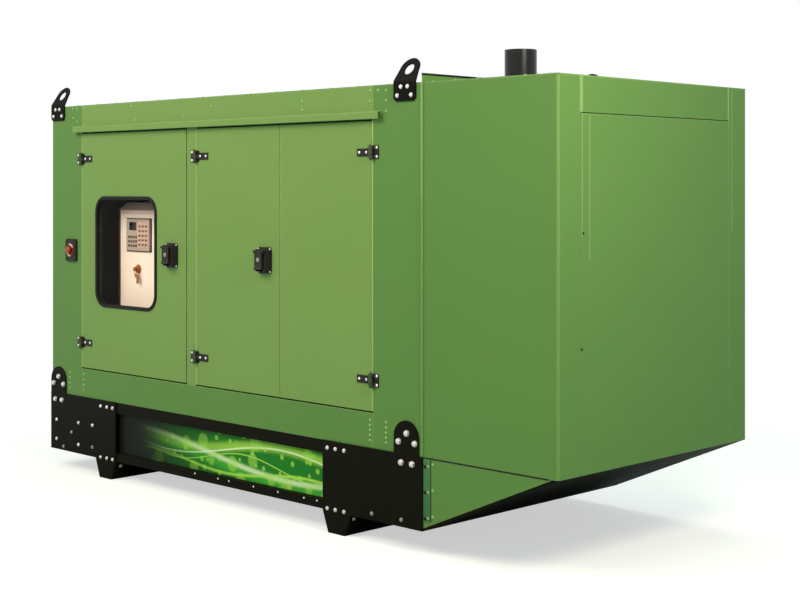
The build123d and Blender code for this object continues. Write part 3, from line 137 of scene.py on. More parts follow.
def powderCoat(name, coat, lined=False, pressed=False):
    # polyester powder coat on folded steel: a satin skin with faint orange peel, on which lights spread softly
    material, tree, shader = newMaterial(name, {"IOR": 1.5, "Specular IOR Level": coat["gloss"]})
    place = addNode(tree, "TexCoord").outputs["Object"]
    drift = addNode(tree, "TexNoise", {"Vector": place, "Scale": mm(coat["driftSize"]), "Detail": 2.0})
    skin = addNode(tree, "Mix", {0: drift.outputs["Fac"], 6: linear(coat["colour"]), 7: linear(coat["shade"])},
                   data_type="RGBA").outputs[2]
    # dust lies on what faces up, and thins out in clouds
    level = addNode(tree, "NewGeometry").outputs["Normal"]
    upward = addNode(tree, "SeparateXYZ", {0: level}).outputs["Z"]
    clouds = addNode(tree, "TexNoise", {"Vector": place, "Scale": mm(weather["cloud"]), "Detail": 4.0})
    cloud = clouds.outputs["Fac"]
    settled = addNode(tree, "MapRange", {0: upward, 1: weather["fromTilt"], 3: weather["onWalls"]}).outputs[0]
    thick = addNode(tree, "Math", {0: settled, 1: cloud}, operation="MULTIPLY").outputs[0]
    amount = addNode(tree, "Math", {0: thick, 1: coat["dustShare"]}, operation="MULTIPLY").outputs[0]
    dusty = addNode(tree, "Mix", {0: amount, 6: skin, 7: linear(coat["dust"])}, data_type="RGBA").outputs[2]
    # the coat is thinner and rubbed paler along folds and cut edges; this paler band is also a painted
    # highlight where the folds catch the light
    rounded = addNode(tree, "Bevel", {"Radius": coat["fold"] / 1000}, samples=4).outputs["Normal"]
    turn = addNode(tree, "VectorMath", {0: rounded, 1: level}, operation="DOT_PRODUCT").outputs["Value"]
    flat, folded = weather["foldTurn"]
    edge = addNode(tree, "MapRange", {0: turn, 1: flat, 2: folded, 4: coat["rubAndHighlight"]}).outputs[0]
    colour = addNode(tree, "Mix", {0: edge, 6: dusty, 7: linear(coat["edge"])}, data_type="RGBA").outputs[2]
    if pressed:
        # painted highlights along the folds of the end sheets, where they catch the light, and a dark disc
        # painted at each of two sunk locks
        x, y, z = addNode(tree, "SeparateXYZ", {0: place}).outputs
        skinInside = (hoodEnd["face"] - hoodEnd["skin"]) / 1000
        outer = addNode(tree, "Math", {0: x, 1: skinInside}, operation="GREATER_THAN").outputs[0]
        for across, low, high, width, share in hoodEnd["lines"]:
            beside = within(tree, y, (across - width / 2) / 1000, (across + width / 2) / 1000)
            line = addNode(tree, "Math", {0: beside, 1: within(tree, z, low / 1000, high / 1000)},
                           operation="MULTIPLY").outputs[0]
            line = addNode(tree, "Math", {0: line, 1: outer}, operation="MULTIPLY").outputs[0]
            line = addNode(tree, "Math", {0: line, 1: share}, operation="MULTIPLY").outputs[0]
            colour = addNode(tree, "Mix", {0: line, 6: colour, 7: linear(coat["edge"])},
                             data_type="RGBA").outputs[2]
        for across, height in hoodEnd["locks"]:
            middle = (hoodEnd["face"] / 1000, across / 1000, height / 1000)
            off = addNode(tree, "VectorMath", {0: place, 1: middle}, operation="DISTANCE").outputs["Value"]
            sunk = addNode(tree, "Math", {0: off, 1: hoodEnd["lockRadius"] / 1000},
                           operation="LESS_THAN").outputs[0]
            colour = addNode(tree, "Mix", {0: sunk, 6: colour, 7: linear(hoodEnd["lockColour"])},
                             data_type="RGBA").outputs[2]
    low, high = coat["roughness"]
    gloss = addNode(tree, "MapRange", {0: cloud, 3: low, 4: high}).outputs[0]
    # orange peel is 1 to 2 mm across, drawn coarser so that it shows
    peel = addNode(tree, "TexNoise", {"Vector": place, "Scale": mm(coat["peelSize"]), "Detail": 1.0})
    normal = addNode(tree, "Bump", {"Height": peel.outputs["Fac"], "Strength": coat["peelDepth"],
                                    "Distance": 0.001, "Normal": rounded}).outputs["Normal"]
    if lined:
        # the inside faces of the walls carry dark foam; everything nearer the middle than the skins is lining
        x, y, z = addNode(tree, "SeparateXYZ", {0: place}).outputs
        reach = addNode(tree, "Math", {0: y}, operation="ABSOLUTE").outputs[0]
        inside = addNode(tree, "Math", {0: reach, 1: insideWalls["y"]}, operation="LESS_THAN").outputs[0]
        for part in (within(tree, x, *insideWalls["x"]), within(tree, z, 0, insideWalls["z"])):
            inside = addNode(tree, "Math", {0: inside, 1: part}, operation="MULTIPLY").outputs[0]
        colour = addNode(tree, "Mix", {0: inside, 6: colour, 7: linear(liningLook["colour"])},
                         data_type="RGBA").outputs[2]
        gloss = addNode(tree, "MapRange", {0: inside, 3: gloss, 4: liningLook["roughness"]}).outputs[0]
        normal = addNode(tree, "Mix", {0: inside, 4: normal, 5: foamRelief(tree, place)},
                         data_type="VECTOR").outputs[1]
    tree.links.new(colour, shader.inputs["Base Color"])
    tree.links.new(gloss, shader.inputs["Roughness"])
    tree.links.new(normal, shader.inputs["Normal"])
    return material


canopyPaint = powderCoat("powderCoatedCanopySteel", canopyCoat)
linedPaint = powderCoat("powderCoatedFoamLinedSteel", canopyCoat, lined=True)
hoodEndPaintWithFoldHighlights = powderCoat("hoodEndSteelPaintedFoldHighlights", canopyCoat, lined=True, pressed=True)
doorPaint = powderCoat("powderCoatedDoorSteelPaintedLight", doorCoatWithPaintedLight)
linedDoorAndRailPaintedLight = powderCoat("foamLinedLighterGreenPaintedLight", doorCoatWithPaintedLight, lined=True)
hingeSideHighlightPaint = powderCoat("foldedEdgePaintedHighlight", hingeSideHighlightCoat)
paleHighlightStripPaint = powderCoat("coverStripPaintedHighlight", paleHighlightStripCoat)
dimHighlightStripPaint = powderCoat("lowStripPaintedDimHighlight", dimHighlightStripCoat)
shadedGussetStripPaint = powderCoat("gussetStripPaintedShade", shadedGussetStripCoat)
basePaint = powderCoat("powderCoatedBaseSteel", baseCoat)
lugPaint = powderCoat("powderCoatedLugPlate", lugCoat)
cabinetPaint = powderCoat("powderCoatedCabinetSteel", cabinetCoat)
enginePaint = powderCoat("enamelledCastIron", engineCoat)
alternatorPaint = powderCoat("enamelledAlternatorHousing", alternatorCoat)
railPaint = powderCoat("enamelledRailSteel", railCoat)


# metals, plastics, rubber and foam

# each row: colour, shade, lowest and highest roughness, size of the grain in millimetres, depth of the grain
metals = {
    "brightZincPlating": ("e9e7e6", "d6d4d3", (0.40, 0.55), 14),
    "dulledZincPlating": ("aeaaa4", "8f8b85", (0.50, 0.65), 10),
    "brassKeyBlade": ("b58a4a", "9a7238", (0.25, 0.40), 8),
    "heatStainedCastIron": ("5a4a40", "3f3632", (0.55, 0.75), 22),
}
plastics = {
    "mouldedBlackNylon": ("24231f", "1c1b18", (0.42, 0.55), 3, 0.25),
    # a paler grey-green than the black leaves, on the hinge knuckles
    "paleKnuckleCoat": ("4c5340", "3d4333", (0.35, 0.50), 5, 0.12),
    "eCoatedHingeSteel": ("1d1d1b", "161614", (0.35, 0.50), 5, 0.12),
    "extrudedRubber": ("161613", "11110f", (0.50, 0.65), 9, 0.15),
    "stopRedPlastic": ("c4493a", "b83f31", (0.25, 0.32), 30, 0.05),
    # the collar's dark red-brown is partly painted shade of the dome's sides; the cream arcs are release
    # arrows that also serve as painted highlights at the dome's top and bottom
    "stopCollarPlasticPaintedShade": ("6e2a1c", "5c2217", (0.40, 0.50), 20, 0.05),
    "creamArcPaintedHighlight": ("e6d6b2", "dccba6", (0.40, 0.50), 20, 0.05),
    # painted shade: a dark red-brown strip for the shaded edge of the cabinet
    "brownEdgeShadeStrip": ("3f241b", "341d16", (0.50, 0.60), 9, 0.15),
    # painted light and shade: a browner beige than the cabinet for the sloped top's shade, kept light enough
    # to stand for the lamp light the door's edge keeps off it
    "visorEnamelPaintedLightAndShade": ("dcc4b4", "d0b8a8", (0.40, 0.50), 6, 0.10),
    "controllerShell": ("a3968a", "998c80", (0.45, 0.55), 4, 0.15),
    "membraneKeypad": ("c4a294", "b99688", (0.50, 0.60), 12, 0.08),
    "rubberKeys": ("544b45", "4a423c", (0.55, 0.65), 10, 0.08),
    "keyTagLeather": ("a5662c", "8c531e", (0.60, 0.75), 6, 0.3),
    "filterCanPaint": ("c9c9c4", "bdbdb8", (0.30, 0.40), 30, 0.05),
    "batteryCase": ("1f2022", "191a1b", (0.40, 0.50), 6, 0.1),
    "radiatorEnamel": ("1c1d1d", "151616", (0.50, 0.60), 12, 0.1),
}
softEdge = 0.0015  # the radius that a moulded or painted edge shows, in metres
mouldCloud = 60    # millimetres between paler and darker places of a moulding


def platedMetal(name, look):
    # plated steel: a mirror softened by handling, cloudy where the plating is dull
    material, tree, shader = newMaterial(name, {"Metallic": 1.0})
    colour, shade, (low, high), grainSize = look
    place = addNode(tree, "TexCoord").outputs["Object"]
    cloud = addNode(tree, "TexNoise", {"Vector": place, "Scale": mm(grainSize), "Detail": 3.0}).outputs["Fac"]
    skin = addNode(tree, "Mix", {0: cloud, 6: linear(colour), 7: linear(shade)}, data_type="RGBA").outputs[2]
    gloss = addNode(tree, "MapRange", {0: cloud, 3: low, 4: high}).outputs[0]
    tree.links.new(skin, shader.inputs["Base Color"])
    tree.links.new(gloss, shader.inputs["Roughness"])
    return material


def mouldedSkin(name, look):
    # moulded or dipped skin: matt, with the fine grain of the mould in it and edges that catch the light
    material, tree, shader = newMaterial(name, {"IOR": 1.5, "Specular IOR Level": 0.22})
    colour, shade, (low, high), grainSize, depth = look
    place = addNode(tree, "TexCoord").outputs["Object"]
    cloud = addNode(tree, "TexNoise", {"Vector": place, "Scale": mm(mouldCloud), "Detail": 3.0}).outputs["Fac"]
    skin = addNode(tree, "Mix", {0: cloud, 6: linear(colour), 7: linear(shade)}, data_type="RGBA").outputs[2]
    gloss = addNode(tree, "MapRange", {0: cloud, 3: low, 4: high}).outputs[0]
    rounded = addNode(tree, "Bevel", {"Radius": softEdge}, samples=4).outputs["Normal"]
    grain = addNode(tree, "TexNoise", {"Vector": place, "Scale": mm(grainSize), "Detail": 1.0}).outputs["Fac"]
    bump = addNode(tree, "Bump", {"Height": grain, "Strength": depth, "Distance": 0.0005, "Normal": rounded})
    tree.links.new(skin, shader.inputs["Base Color"])
    tree.links.new(gloss, shader.inputs["Roughness"])
    tree.links.new(bump.outputs["Normal"], shader.inputs["Normal"])
    return material


skins = {name: platedMetal(name, look) for name, look in metals.items()}
skins.update({name: mouldedSkin(name, look) for name, look in plastics.items()})


def foamSkin(name):
    # open-cell foam: no shine at all, dark hollows between soft cones
    material, tree, shader = newMaterial(name, {"Roughness": 0.96, "Specular IOR Level": 0.1})
    place = addNode(tree, "TexCoord").outputs["Object"]
    cloud = addNode(tree, "TexNoise", {"Vector": place, "Scale": mm(90), "Detail": 3.0}).outputs["Fac"]
    skin = addNode(tree, "Mix", {0: cloud, 6: linear(liningLook["colour"]), 7: linear(liningLook["shade"])},
                   data_type="RGBA").outputs[2]
    tree.links.new(skin, shader.inputs["Base Color"])
    tree.links.new(foamRelief(tree, place), shader.inputs["Normal"])
    return material


paneLook = {"tint": "f4f4f2", "roughness": (0.01, 0.03), "mirror": 1.08, "haze": 120}


def clearPane(name):
    # clear polycarbonate with a dulled face: it mirrors little, and the lamps light the cabinet through it
    material, tree, shader = newMaterial(name, {"Transmission Weight": 1.0, "IOR": paneLook["mirror"],
                                                "Base Color": linear(paneLook["tint"])})
    place = addNode(tree, "TexCoord").outputs["Object"]
    haze = addNode(tree, "TexNoise", {"Vector": place, "Scale": mm(paneLook["haze"]), "Detail": 3.0})
    low, high = paneLook["roughness"]
    soft = addNode(tree, "MapRange", {0: haze.outputs["Fac"], 3: low, 4: high}).outputs[0]
    tree.links.new(soft, shader.inputs["Roughness"])
    shadow = addNode(tree, "LightPath").outputs["Is Shadow Ray"]
    through = addNode(tree, "BsdfTransparent", {"Color": linear(paneLook["tint"])}).outputs[0]
    both = addNode(tree, "MixShader", {0: shadow, 1: shader.outputs[0], 2: through}).outputs[0]
    tree.links.new(both, tree.nodes["Material Output"].inputs["Surface"])
    return material


coreLook = {"colour": "2a2c2c", "gapShade": "0e0f0f", "finPitch": 12, "tubePitch": 22}


def finnedCore(name):
    # radiator core: fins are 2 to 3 mm apart, drawn coarser so that they show as bands and not as noise; the
    # dark between the bands is painted shade in the gaps between fins
    material, tree, shader = newMaterial(name, {"Roughness": 0.55, "Specular IOR Level": 0.4})
    place = addNode(tree, "TexCoord").outputs["Object"]
    fins = addNode(tree, "TexWave", {"Vector": place, "Scale": mm(coreLook["finPitch"]) / 20 * math.pi},
                   bands_direction="Z").outputs["Fac"]
    tubes = addNode(tree, "TexWave", {"Vector": place, "Scale": mm(coreLook["tubePitch"]) / 20 * math.pi},
                    bands_direction="Y").outputs["Fac"]
    mesh = addNode(tree, "Math", {0: fins, 1: tubes}, operation="MAXIMUM").outputs[0]
    skin = addNode(tree, "Mix", {0: mesh, 6: linear(coreLook["gapShade"]), 7: linear(coreLook["colour"])},
                   data_type="RGBA").outputs[2]
    tree.links.new(skin, shader.inputs["Base Color"])
    bump = addNode(tree, "Bump", {"Height": mesh, "Strength": 0.7, "Distance": 0.004})
    tree.links.new(bump.outputs["Normal"], shader.inputs["Normal"])
    return material


stubLook = {"colour": "0c0c0c", "shade": "090909", "bloom": "24221f", "hot": (2.37, 2.395), "cloud": 45,
            "roughness": (0.16, 0.24)}


def heatPaint(name):
    # stove black: a glossy skin with a clear streak of light, dull and brownish only at the hot rim
    material, tree, shader = newMaterial(name, {"IOR": 1.5, "Specular IOR Level": 0.32})
    place = addNode(tree, "TexCoord").outputs["Object"]
    clouds = addNode(tree, "TexNoise", {"Vector": place, "Scale": mm(stubLook["cloud"]), "Detail": 4.0})
    cloud = clouds.outputs["Fac"]
    skin = addNode(tree, "Mix", {0: cloud, 6: linear(stubLook["colour"]), 7: linear(stubLook["shade"])},
                   data_type="RGBA").outputs[2]
    height = addNode(tree, "SeparateXYZ", {0: place}).outputs["Z"]
    start, rim = stubLook["hot"]
    hot = addNode(tree, "MapRange", {0: height, 1: start, 2: rim, 4: 0.6}).outputs[0]
    bloom = addNode(tree, "Mix", {0: hot, 6: skin, 7: linear(stubLook["bloom"])}, data_type="RGBA").outputs[2]
    low, high = stubLook["roughness"]
    gloss = addNode(tree, "MapRange", {0: cloud, 3: low, 4: high}).outputs[0]
    rounded = addNode(tree, "Bevel", {"Radius": softEdge}, samples=4).outputs["Normal"]
    tree.links.new(bloom, shader.inputs["Base Color"])
    tree.links.new(gloss, shader.inputs["Roughness"])
    tree.links.new(rounded, shader.inputs["Normal"])
    return material


foam = foamSkin("acousticFoam")
pane = clearPane("clearPolycarbonate")
core = finnedCore("finnedRadiatorCore")
stovePaint = heatPaint("stoveBlackPipe")

nodePaint = {
    linedPaint: ["near_left_post", "near_right_post", "near_bottom_rail", "far_posts", "far_rails",
                 "roof_panel", "left_end_wall", "hood_side_panels", "hood_roof"],
    hoodEndPaintWithFoldHighlights: ["hood_end_frame", "hood_end_panel"],
    canopyPaint: ["door_frames", "intake_louvre", "hood_gussets", "joint_flange"],
    doorPaint: ["control_door", "left_door", "right_door", "drip_rails"],
    # the top rail and the mullion take the doors' lighter green as painted light
    linedDoorAndRailPaintedLight: ["far_doors", "near_top_rail", "near_mullion"],
    basePaint: ["side_beams", "end_beams", "corner_plates", "foot_rails", "fuel_tank", "bay_floor",
                "hood_underside", "outlet_grille", "bulkhead"],
    lugPaint: ["lifting_lugs"],
    stovePaint: ["exhaust_stub"],
    skins["eCoatedHingeSteel"]: ["hinge_leaves", "right_door_straps"],
    skins["mouldedBlackNylon"]: ["control_door_fittings", "left_door_fittings", "far_door_fittings",
                                 "control_paddle", "pair_paddle", "stop_box"],
    skins["stopRedPlastic"]: ["stop_button"],
    foam: ["control_door_liner", "left_door_liner", "right_door_liner"],
    skins["extrudedRubber"]: ["window_gasket"],
    pane: ["window_pane"],
    cabinetPaint: ["control_cabinet"],
    skins["controllerShell"]: ["controller"],
    enginePaint: ["engine_block"],
    alternatorPaint: ["alternator"],
    railPaint: ["engine_rails"],
    core: ["radiator"],
    skins["radiatorEnamel"]: ["fan_shroud", "fan"],
}
for material, names in nodePaint.items():
    for name in names:
        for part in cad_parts[name].material_slots:
            part.material = material
print("materials applied")


# forming: bmesh forms are drawn in millimetres of the row frame

def turned(form, base, axis, profile, sides=20, hexRings=()):
    # a form of revolution: profile lists (distance along the axis, radius), and ends where it starts for a
    # ring; the rings named in hexRings are six-sided
    hollow = profile[0] == profile[-1]
    axis = Vector(axis).normalized()
    right = axis.orthogonal().normalized()
    up = axis.cross(right)
    rings = []
    for number, (along, radius) in enumerate(profile[:-1] if hollow else profile):
        ring = []
        for step in range(sides):
            turn = math.tau * step / sides
            flat = math.cos((turn + math.pi / 6) % (math.pi / 3) - math.pi / 6) if number in hexRings else 1
            reach = radius / flat
            ring.append(form.verts.new(Vector(base) + axis * along
                                       + (right * math.cos(turn) + up * math.sin(turn)) * reach))
        rings.append(ring)
    for low, high in zip(rings, rings[1:] + (rings[:1] if hollow else [])):
        for step in range(sides):
            after = (step + 1) % sides
            form.faces.new((low[step], low[after], high[after], high[step]))
    if not hollow:
        form.faces.new(rings[-1])
        form.faces.new(list(reversed(rings[0])))


def tube(form, path, radius, sides=10, closed=False, flat=1.0):
    # a round bar, hose or bead along the points of path; flat under 1 squashes it towards the first normal
    points = [Vector(p) for p in path]
    count = len(points)
    rings = []
    normal = None
    for number, point in enumerate(points):
        before = points[number - 1] if closed or number else point
        after = points[(number + 1) % count] if closed or number + 1 < count else point
        heading = (after - before).normalized()
        if normal is None:
            normal = Vector((0, 1, 0)) if abs(heading.y) < 0.5 else Vector((0, 0, 1))
        normal = (normal - heading * normal.dot(heading)).normalized()
        side = heading.cross(normal)
        rings.append([form.verts.new(point + (normal * flat * math.cos(math.tau * k / sides)
                                              + side * math.sin(math.tau * k / sides)) * radius)
                      for k in range(sides)])
    pairs = list(zip(rings, rings[1:])) + ([(rings[-1], rings[0])] if closed else [])
    for low, high in pairs:
        for k in range(sides):
            after = (k + 1) % sides
            form.faces.new((low[k], low[after], high[after], high[k]))
    if not closed:
        form.faces.new(rings[-1])
        form.faces.new(list(reversed(rings[0])))


def block(form, low, high, bevel=2.0, segments=2):
    # a pressed or moulded block between two corners, its edges rounded
    low, high = Vector(low), Vector(high)
    made = bmesh.ops.create_cube(form, size=1.0)["verts"]
    middle, span = (low + high) / 2, high - low
    for vert in made:
        vert.co = middle + Vector(vert.co[i] * span[i] for i in range(3))
    edges = {edge for vert in made for edge in vert.link_edges}
    bmesh.ops.bevel(form, geom=list(edges), offset=bevel, segments=segments, affect="EDGES", profile=0.5)


def loop(x0, x1, z0, z1, corner, y, steps=8):  # points of a rounded rectangle in a wall's plane
    middles = [(x1 - corner, z1 - corner, 0), (x0 + corner, z1 - corner, 90),
               (x0 + corner, z0 + corner, 180), (x1 - corner, z0 + corner, 270)]
    return [(x + corner * math.cos(math.radians(start + 90 * k / steps)), y,
             z + corner * math.sin(math.radians(start + 90 * k / steps)))
            for x, z, start in middles for k in range(steps + 1)]


def bent(path, radius, steps=6):  # the same path with its inner corners rounded
    points = [Vector(p) for p in path]
    out = [points[0]]
    for before, corner, after in zip(points, points[1:], points[2:]):
        start = corner + (before - corner).normalized() * radius
        end = corner + (after - corner).normalized() * radius
        for k in range(steps + 1):
            t = k / steps
            out.append(start * (1 - t) ** 2 + corner * 2 * t * (1 - t) + end * t ** 2)
    return out + [points[-1]]


def piece(name, form, material, body, sharp=35):
    # the form becomes one smooth-shaded piece that rides on a CAD body
    bmesh.ops.scale(form, vec=(0.001, 0.001, 0.001), verts=form.verts)
    bmesh.ops.recalc_face_normals(form, faces=form.faces)
    mesh = bpy.data.meshes.new(name)
    form.to_mesh(mesh)
    form.free()
    mesh.materials.append(material)
    mesh.shade_smooth()
    mesh.set_sharp_from_angle(angle=math.radians(sharp))
    made = bpy.data.objects.new(name, mesh)
    bpy.context.collection.objects.link(made)
    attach(made, body)
    return made


# bolts, screws and rivets

nearOut, farOut = (0, -1, 0), (0, 1, 0)
wallFaces = {"sheet": 750, "hinge": 754, "flange": 756, "plate": 758, "stopPlate": 764, "paddle": 799.5}
hexRings = {"big": (3, 4, 5), "small": (3, 4)}

# profiles of heads: distance from the face and radius, in millimetres
hexBolt = ((0, 15), (2.4, 15), (2.6, 12.2), (3.0, 12.6), (9.5, 12.6), (11.5, 11.6), (12.6, 8.5), (13.0, 3))
smallBolt = ((0, 10.5), (1.6, 10.5), (1.8, 7.4), (2.0, 7.8), (5.6, 7.8), (6.8, 7.0), (7.4, 2))
panScrew = ((0, 5.2), (1.2, 5.4), (2.6, 4.4), (3.4, 2.6), (3.6, 1.8), (2.4, 1.5))
hingeScrew = ((0, 7.4), (1.4, 7.6), (3.0, 6.4), (4.0, 4.2), (4.3, 2.4), (3.0, 2.0))
rivetHead = ((0, 7.5), (1.0, 7.4), (2.6, 5.8), (3.5, 3.0), (3.6, 1.2))


def heads(form, out, face, spots, profile, sides=24, hexes=()):  # like heads at places (x, z) of a side wall
    for x, z in spots:
        turned(form, (x, out[1] * face, z), out, profile, sides, hexes)


def fourRound(x, z, across, rise):  # the corners of a rectangle round a place (x, z)
    return [(x + dx, z + dz) for dz in (-rise, rise) for dx in (-across, across)]


plateBolts = {
    "tabs": (1092, -1906), "tabPattern": ((0, 558), (-53.5, 515), (53.5, 515), (-36, 417), (36, 417)),
    "rows": (510, -1306), "rowSteps": (26, 85, 148), "rowHeights": (422, 120),
    "single": ((-1690, 297), (-1541, 298), (-1690, 164), (-1930, 291), (-1930, 173)),
    "webs": ((-1317.5, 712, 80), (693, 725, 87)), "webSlope": (0.934, 0, -0.357),
    "dulled": ((-1765, 231), (-1541, 167), (-1853, 134), (855, 143), (1055, 144)),
    "lip": (-552, -349, -255, -49, 149, 351, 450), "lipHeight": 143,
}
form = bmesh.new()
for out in (nearOut, farOut):
    for tab in plateBolts["tabs"]:
        spots = [(tab + dx, z) for dx, z in plateBolts["tabPattern"]]
        heads(form, out, wallFaces["plate"], spots, hexBolt, 24, hexRings["big"])
piece("tabBolts", form, skins["brightZincPlating"], "frame", 25)

form = bmesh.new()
for out in (nearOut, farOut):
    for start, inward in zip(plateBolts["rows"], (1, -1)):
        spots = [(start + inward * step, z)
                 for step in plateBolts["rowSteps"] for z in plateBolts["rowHeights"]]
        heads(form, out, wallFaces["plate"], spots, smallBolt, 24, hexRings["small"])
    heads(form, out, wallFaces["plate"], plateBolts["single"], smallBolt, 24, hexRings["small"])
    spots = [(x, plateBolts["lipHeight"]) for x in plateBolts["lip"]]
    heads(form, out, wallFaces["sheet"], spots, panScrew, 16)
    for x, y, z in plateBolts["webs"]:
        turned(form, (x, out[1] * y, z), plateBolts["webSlope"], smallBolt, 24, hexRings["small"])
piece("plateBolts", form, skins["brightZincPlating"], "frame", 25)
form = bmesh.new()
for out in (nearOut, farOut):
    heads(form, out, wallFaces["plate"], plateBolts["dulled"], smallBolt, 24, hexRings["small"])
piece("dulledPlateBolts", form, skins["dulledZincPlating"], "frame", 25)

rivets = {
    "topLeft": ((-1764, 2197), (-1720, 2197), (-1645, 2197), (-1764, 2143), (-1720, 2118), (-1645, 2090)),
    "lowLeft": tuple((x, z) for x in (-1797, -1645) for z in (593, 560, 528, 498)),
    "topRight": ((833, 2190), (888, 2189), (943, 2187), (833, 2138), (943, 2137), (833, 2087), (943, 2086)),
    "lowRight": tuple((x, z) for x in (833, 943) for z in (592, 567, 543, 518, 494)),
    "rail": ((-1158, 2192), (-1118, 2109), (-652, 2111), (-410, 2163), (336, 2160), (336, 2114)),
}
roofRivets = {"y": 735, "z": 2215, "canopy": range(-1940, 1150, 206), "hood": range(1240, 1960, 140)}
form = bmesh.new()
for out in (nearOut, farOut):
    for group in rivets.values():
        heads(form, out, wallFaces["sheet"], group, rivetHead, 14)
for out in (nearOut, farOut):
    for x in [*roofRivets["canopy"], *roofRivets["hood"]]:
        turned(form, (x, out[1] * roofRivets["y"], roofRivets["z"]), (0, 0, 1), rivetHead, 14)
# the rivet heads take the pale strip green, a painted glint
piece("blindRivets", form, paleHighlightStripPaint, "frame", 60)

lugBolts = {"lugs": (-1921.5, 1073.5), "pattern": ((-22, 2198), (22, 2198), (-46, 2157), (46, 2157))}
form = bmesh.new()
for out in (nearOut, farOut):
    for lug in lugBolts["lugs"]:
        spots = [(lug + dx, z) for dx, z in lugBolts["pattern"]]
        heads(form, out, wallFaces["plate"], spots, smallBolt, 24, hexRings["small"])
piece("lugBolts", form, skins["brightZincPlating"], "frame", 25)

hinges = {"heights": (787, 1891), "strap": (38, 88), "leaf": -34, "leafRise": 22, "axis": -764,
          "outer": (13, 33.2), "inner": 11.6, "barrel": 9.9, "mouth": 9.2}
doorHinges = {"control_leaf": (-1662, 1), "left_leaf": (-539, 1), "right_leaf": (850, -1)}
leafForm, farForm, barrelForm = bmesh.new(), bmesh.new(), bmesh.new()
barrel, mouth, inner = hinges["barrel"], hinges["mouth"], hinges["inner"]
outerStart = hinges["outer"][0]
outerLong = hinges["outer"][1] - outerStart
outerBarrel = ((0, mouth), (0.6, barrel), (outerLong - 1.2, barrel), (outerLong, 8.8), (outerLong + 0.6, 6.0),
               (outerLong + 3.2, 5.6), (outerLong + 4.4, 3.6), (outerLong + 4.8, 1))
innerBarrel = ((0, mouth), (0.6, barrel), (2 * inner - 0.6, barrel), (2 * inner, mouth))
for body, (axisX, side) in doorHinges.items():
    form, sleeve = bmesh.new(), bmesh.new()
    for z in hinges["heights"]:
        straps = [(axisX + side * reach, z) for reach in hinges["strap"]]
        leaves = [(axisX + side * hinges["leaf"], z + dz) for dz in (-hinges["leafRise"], hinges["leafRise"])]
        heads(form, nearOut, wallFaces["hinge"], straps, hingeScrew, 16)
        heads(leafForm, nearOut, wallFaces["hinge"], leaves, hingeScrew, 16)
        heads(farForm, farOut, wallFaces["hinge"], straps + leaves, hingeScrew, 16)
        for up in (-1, 1):
            turned(barrelForm, (axisX, hinges["axis"], z + up * outerStart), (0, 0, up), outerBarrel, 24)
        turned(sleeve, (axisX, hinges["axis"], z - inner), (0, 0, 1), innerBarrel, 24)
    piece(body + "StrapScrews", form, skins["brightZincPlating"], body, 60)
    piece(body + "HingeKnuckles", sleeve, skins["paleKnuckleCoat"], body, 40)
piece("hingeBarrels", barrelForm, skins["paleKnuckleCoat"], "frame", 40)
piece("postLeafScrews", leafForm, skins["brightZincPlating"], "frame", 60)
piece("farHingeScrews", farForm, skins["brightZincPlating"], "frame", 60)

# the posts' folded returns fill the hinge-side seams; their pale green is a painted highlight where they catch
# the light
foldedReturns = {"x": (-1662.6, -539.6, 850.6), "y": -749.4, "z": (637, 2044), "radius": 3.3}
form = bmesh.new()
for x in foldedReturns["x"]:
    tube(form, [(x, foldedReturns["y"], z) for z in foldedReturns["z"]], foldedReturns["radius"], 12)
piece("foldedReturns", form, hingeSideHighlightPaint, "frame", 60)
# the right leaf's own fold narrows the gap between the two leaves
meetingFold = {"x": (163.7, 168.8), "y": (-750.5, -742), "z": (634, 2044)}
form = bmesh.new()
foldX, foldY, foldZ = meetingFold["x"], meetingFold["y"], meetingFold["z"]
block(form, (foldX[0], foldY[0], foldZ[0]), (foldX[1], foldY[1], foldZ[1]), 1.2)
piece("meetingFold", form, doorPaint, "right_leaf", 40)
print("fasteners made")


# latches and emergency stop

latches = {"x": {"control": -763, "pair": 44.5}, "height": 1339, "barrelRise": 4, "screws": (46, 59)}
lockBarrel = ((0, 11.5), (1.6, 11.5), (2.4, 10.6), (2.4, 8.6), (1.2, 8.2), (1.4, 7.4), (1.9, 1.5))
latchZ, paddleY = latches["height"], -wallFaces["paddle"]
for side, body, leaf in (("control", "control_latch_paddle", "control_leaf"),
                         ("pair", "pair_latch_paddle", "left_leaf")):
    x = latches["x"][side]
    form = bmesh.new()
    turned(form, (x, paddleY, latchZ + latches["barrelRise"]), nearOut, lockBarrel, 24)
    block(form, (x - 1.2, paddleY - 2.6, latchZ - 1), (x + 1.2, paddleY - 1.6, latchZ + 9), 0.3, 1)
    piece(side + "LockBarrel", form, skins["dulledZincPlating"], body, 30)
    form = bmesh.new()
    heads(form, nearOut, wallFaces["flange"], fourRound(x, latchZ, *latches["screws"]), panScrew, 16)
    piece(side + "LatchScrews", form, skins["brightZincPlating"], leaf, 60)
form = bmesh.new()
for x in latches["x"].values():
    heads(form, farOut, wallFaces["flange"], fourRound(x, latchZ, *latches["screws"]), panScrew, 16)
    heads(form, farOut, wallFaces["paddle"], [(x, latchZ + latches["barrelRise"])], lockBarrel, 24)
piece("farLatchMetal", form, skins["brightZincPlating"], "frame", 40)
form = bmesh.new()
block(form, (-841, -762, 1310), (-819, -750, 1350), 3)
turned(form, (-830, -762, 1330), nearOut, ((0, 8), (3, 7.6), (4, 6), (4.4, 2)), 20)
piece("controlLatchStrike", form, skins["mouldedBlackNylon"], "control_leaf", 40)

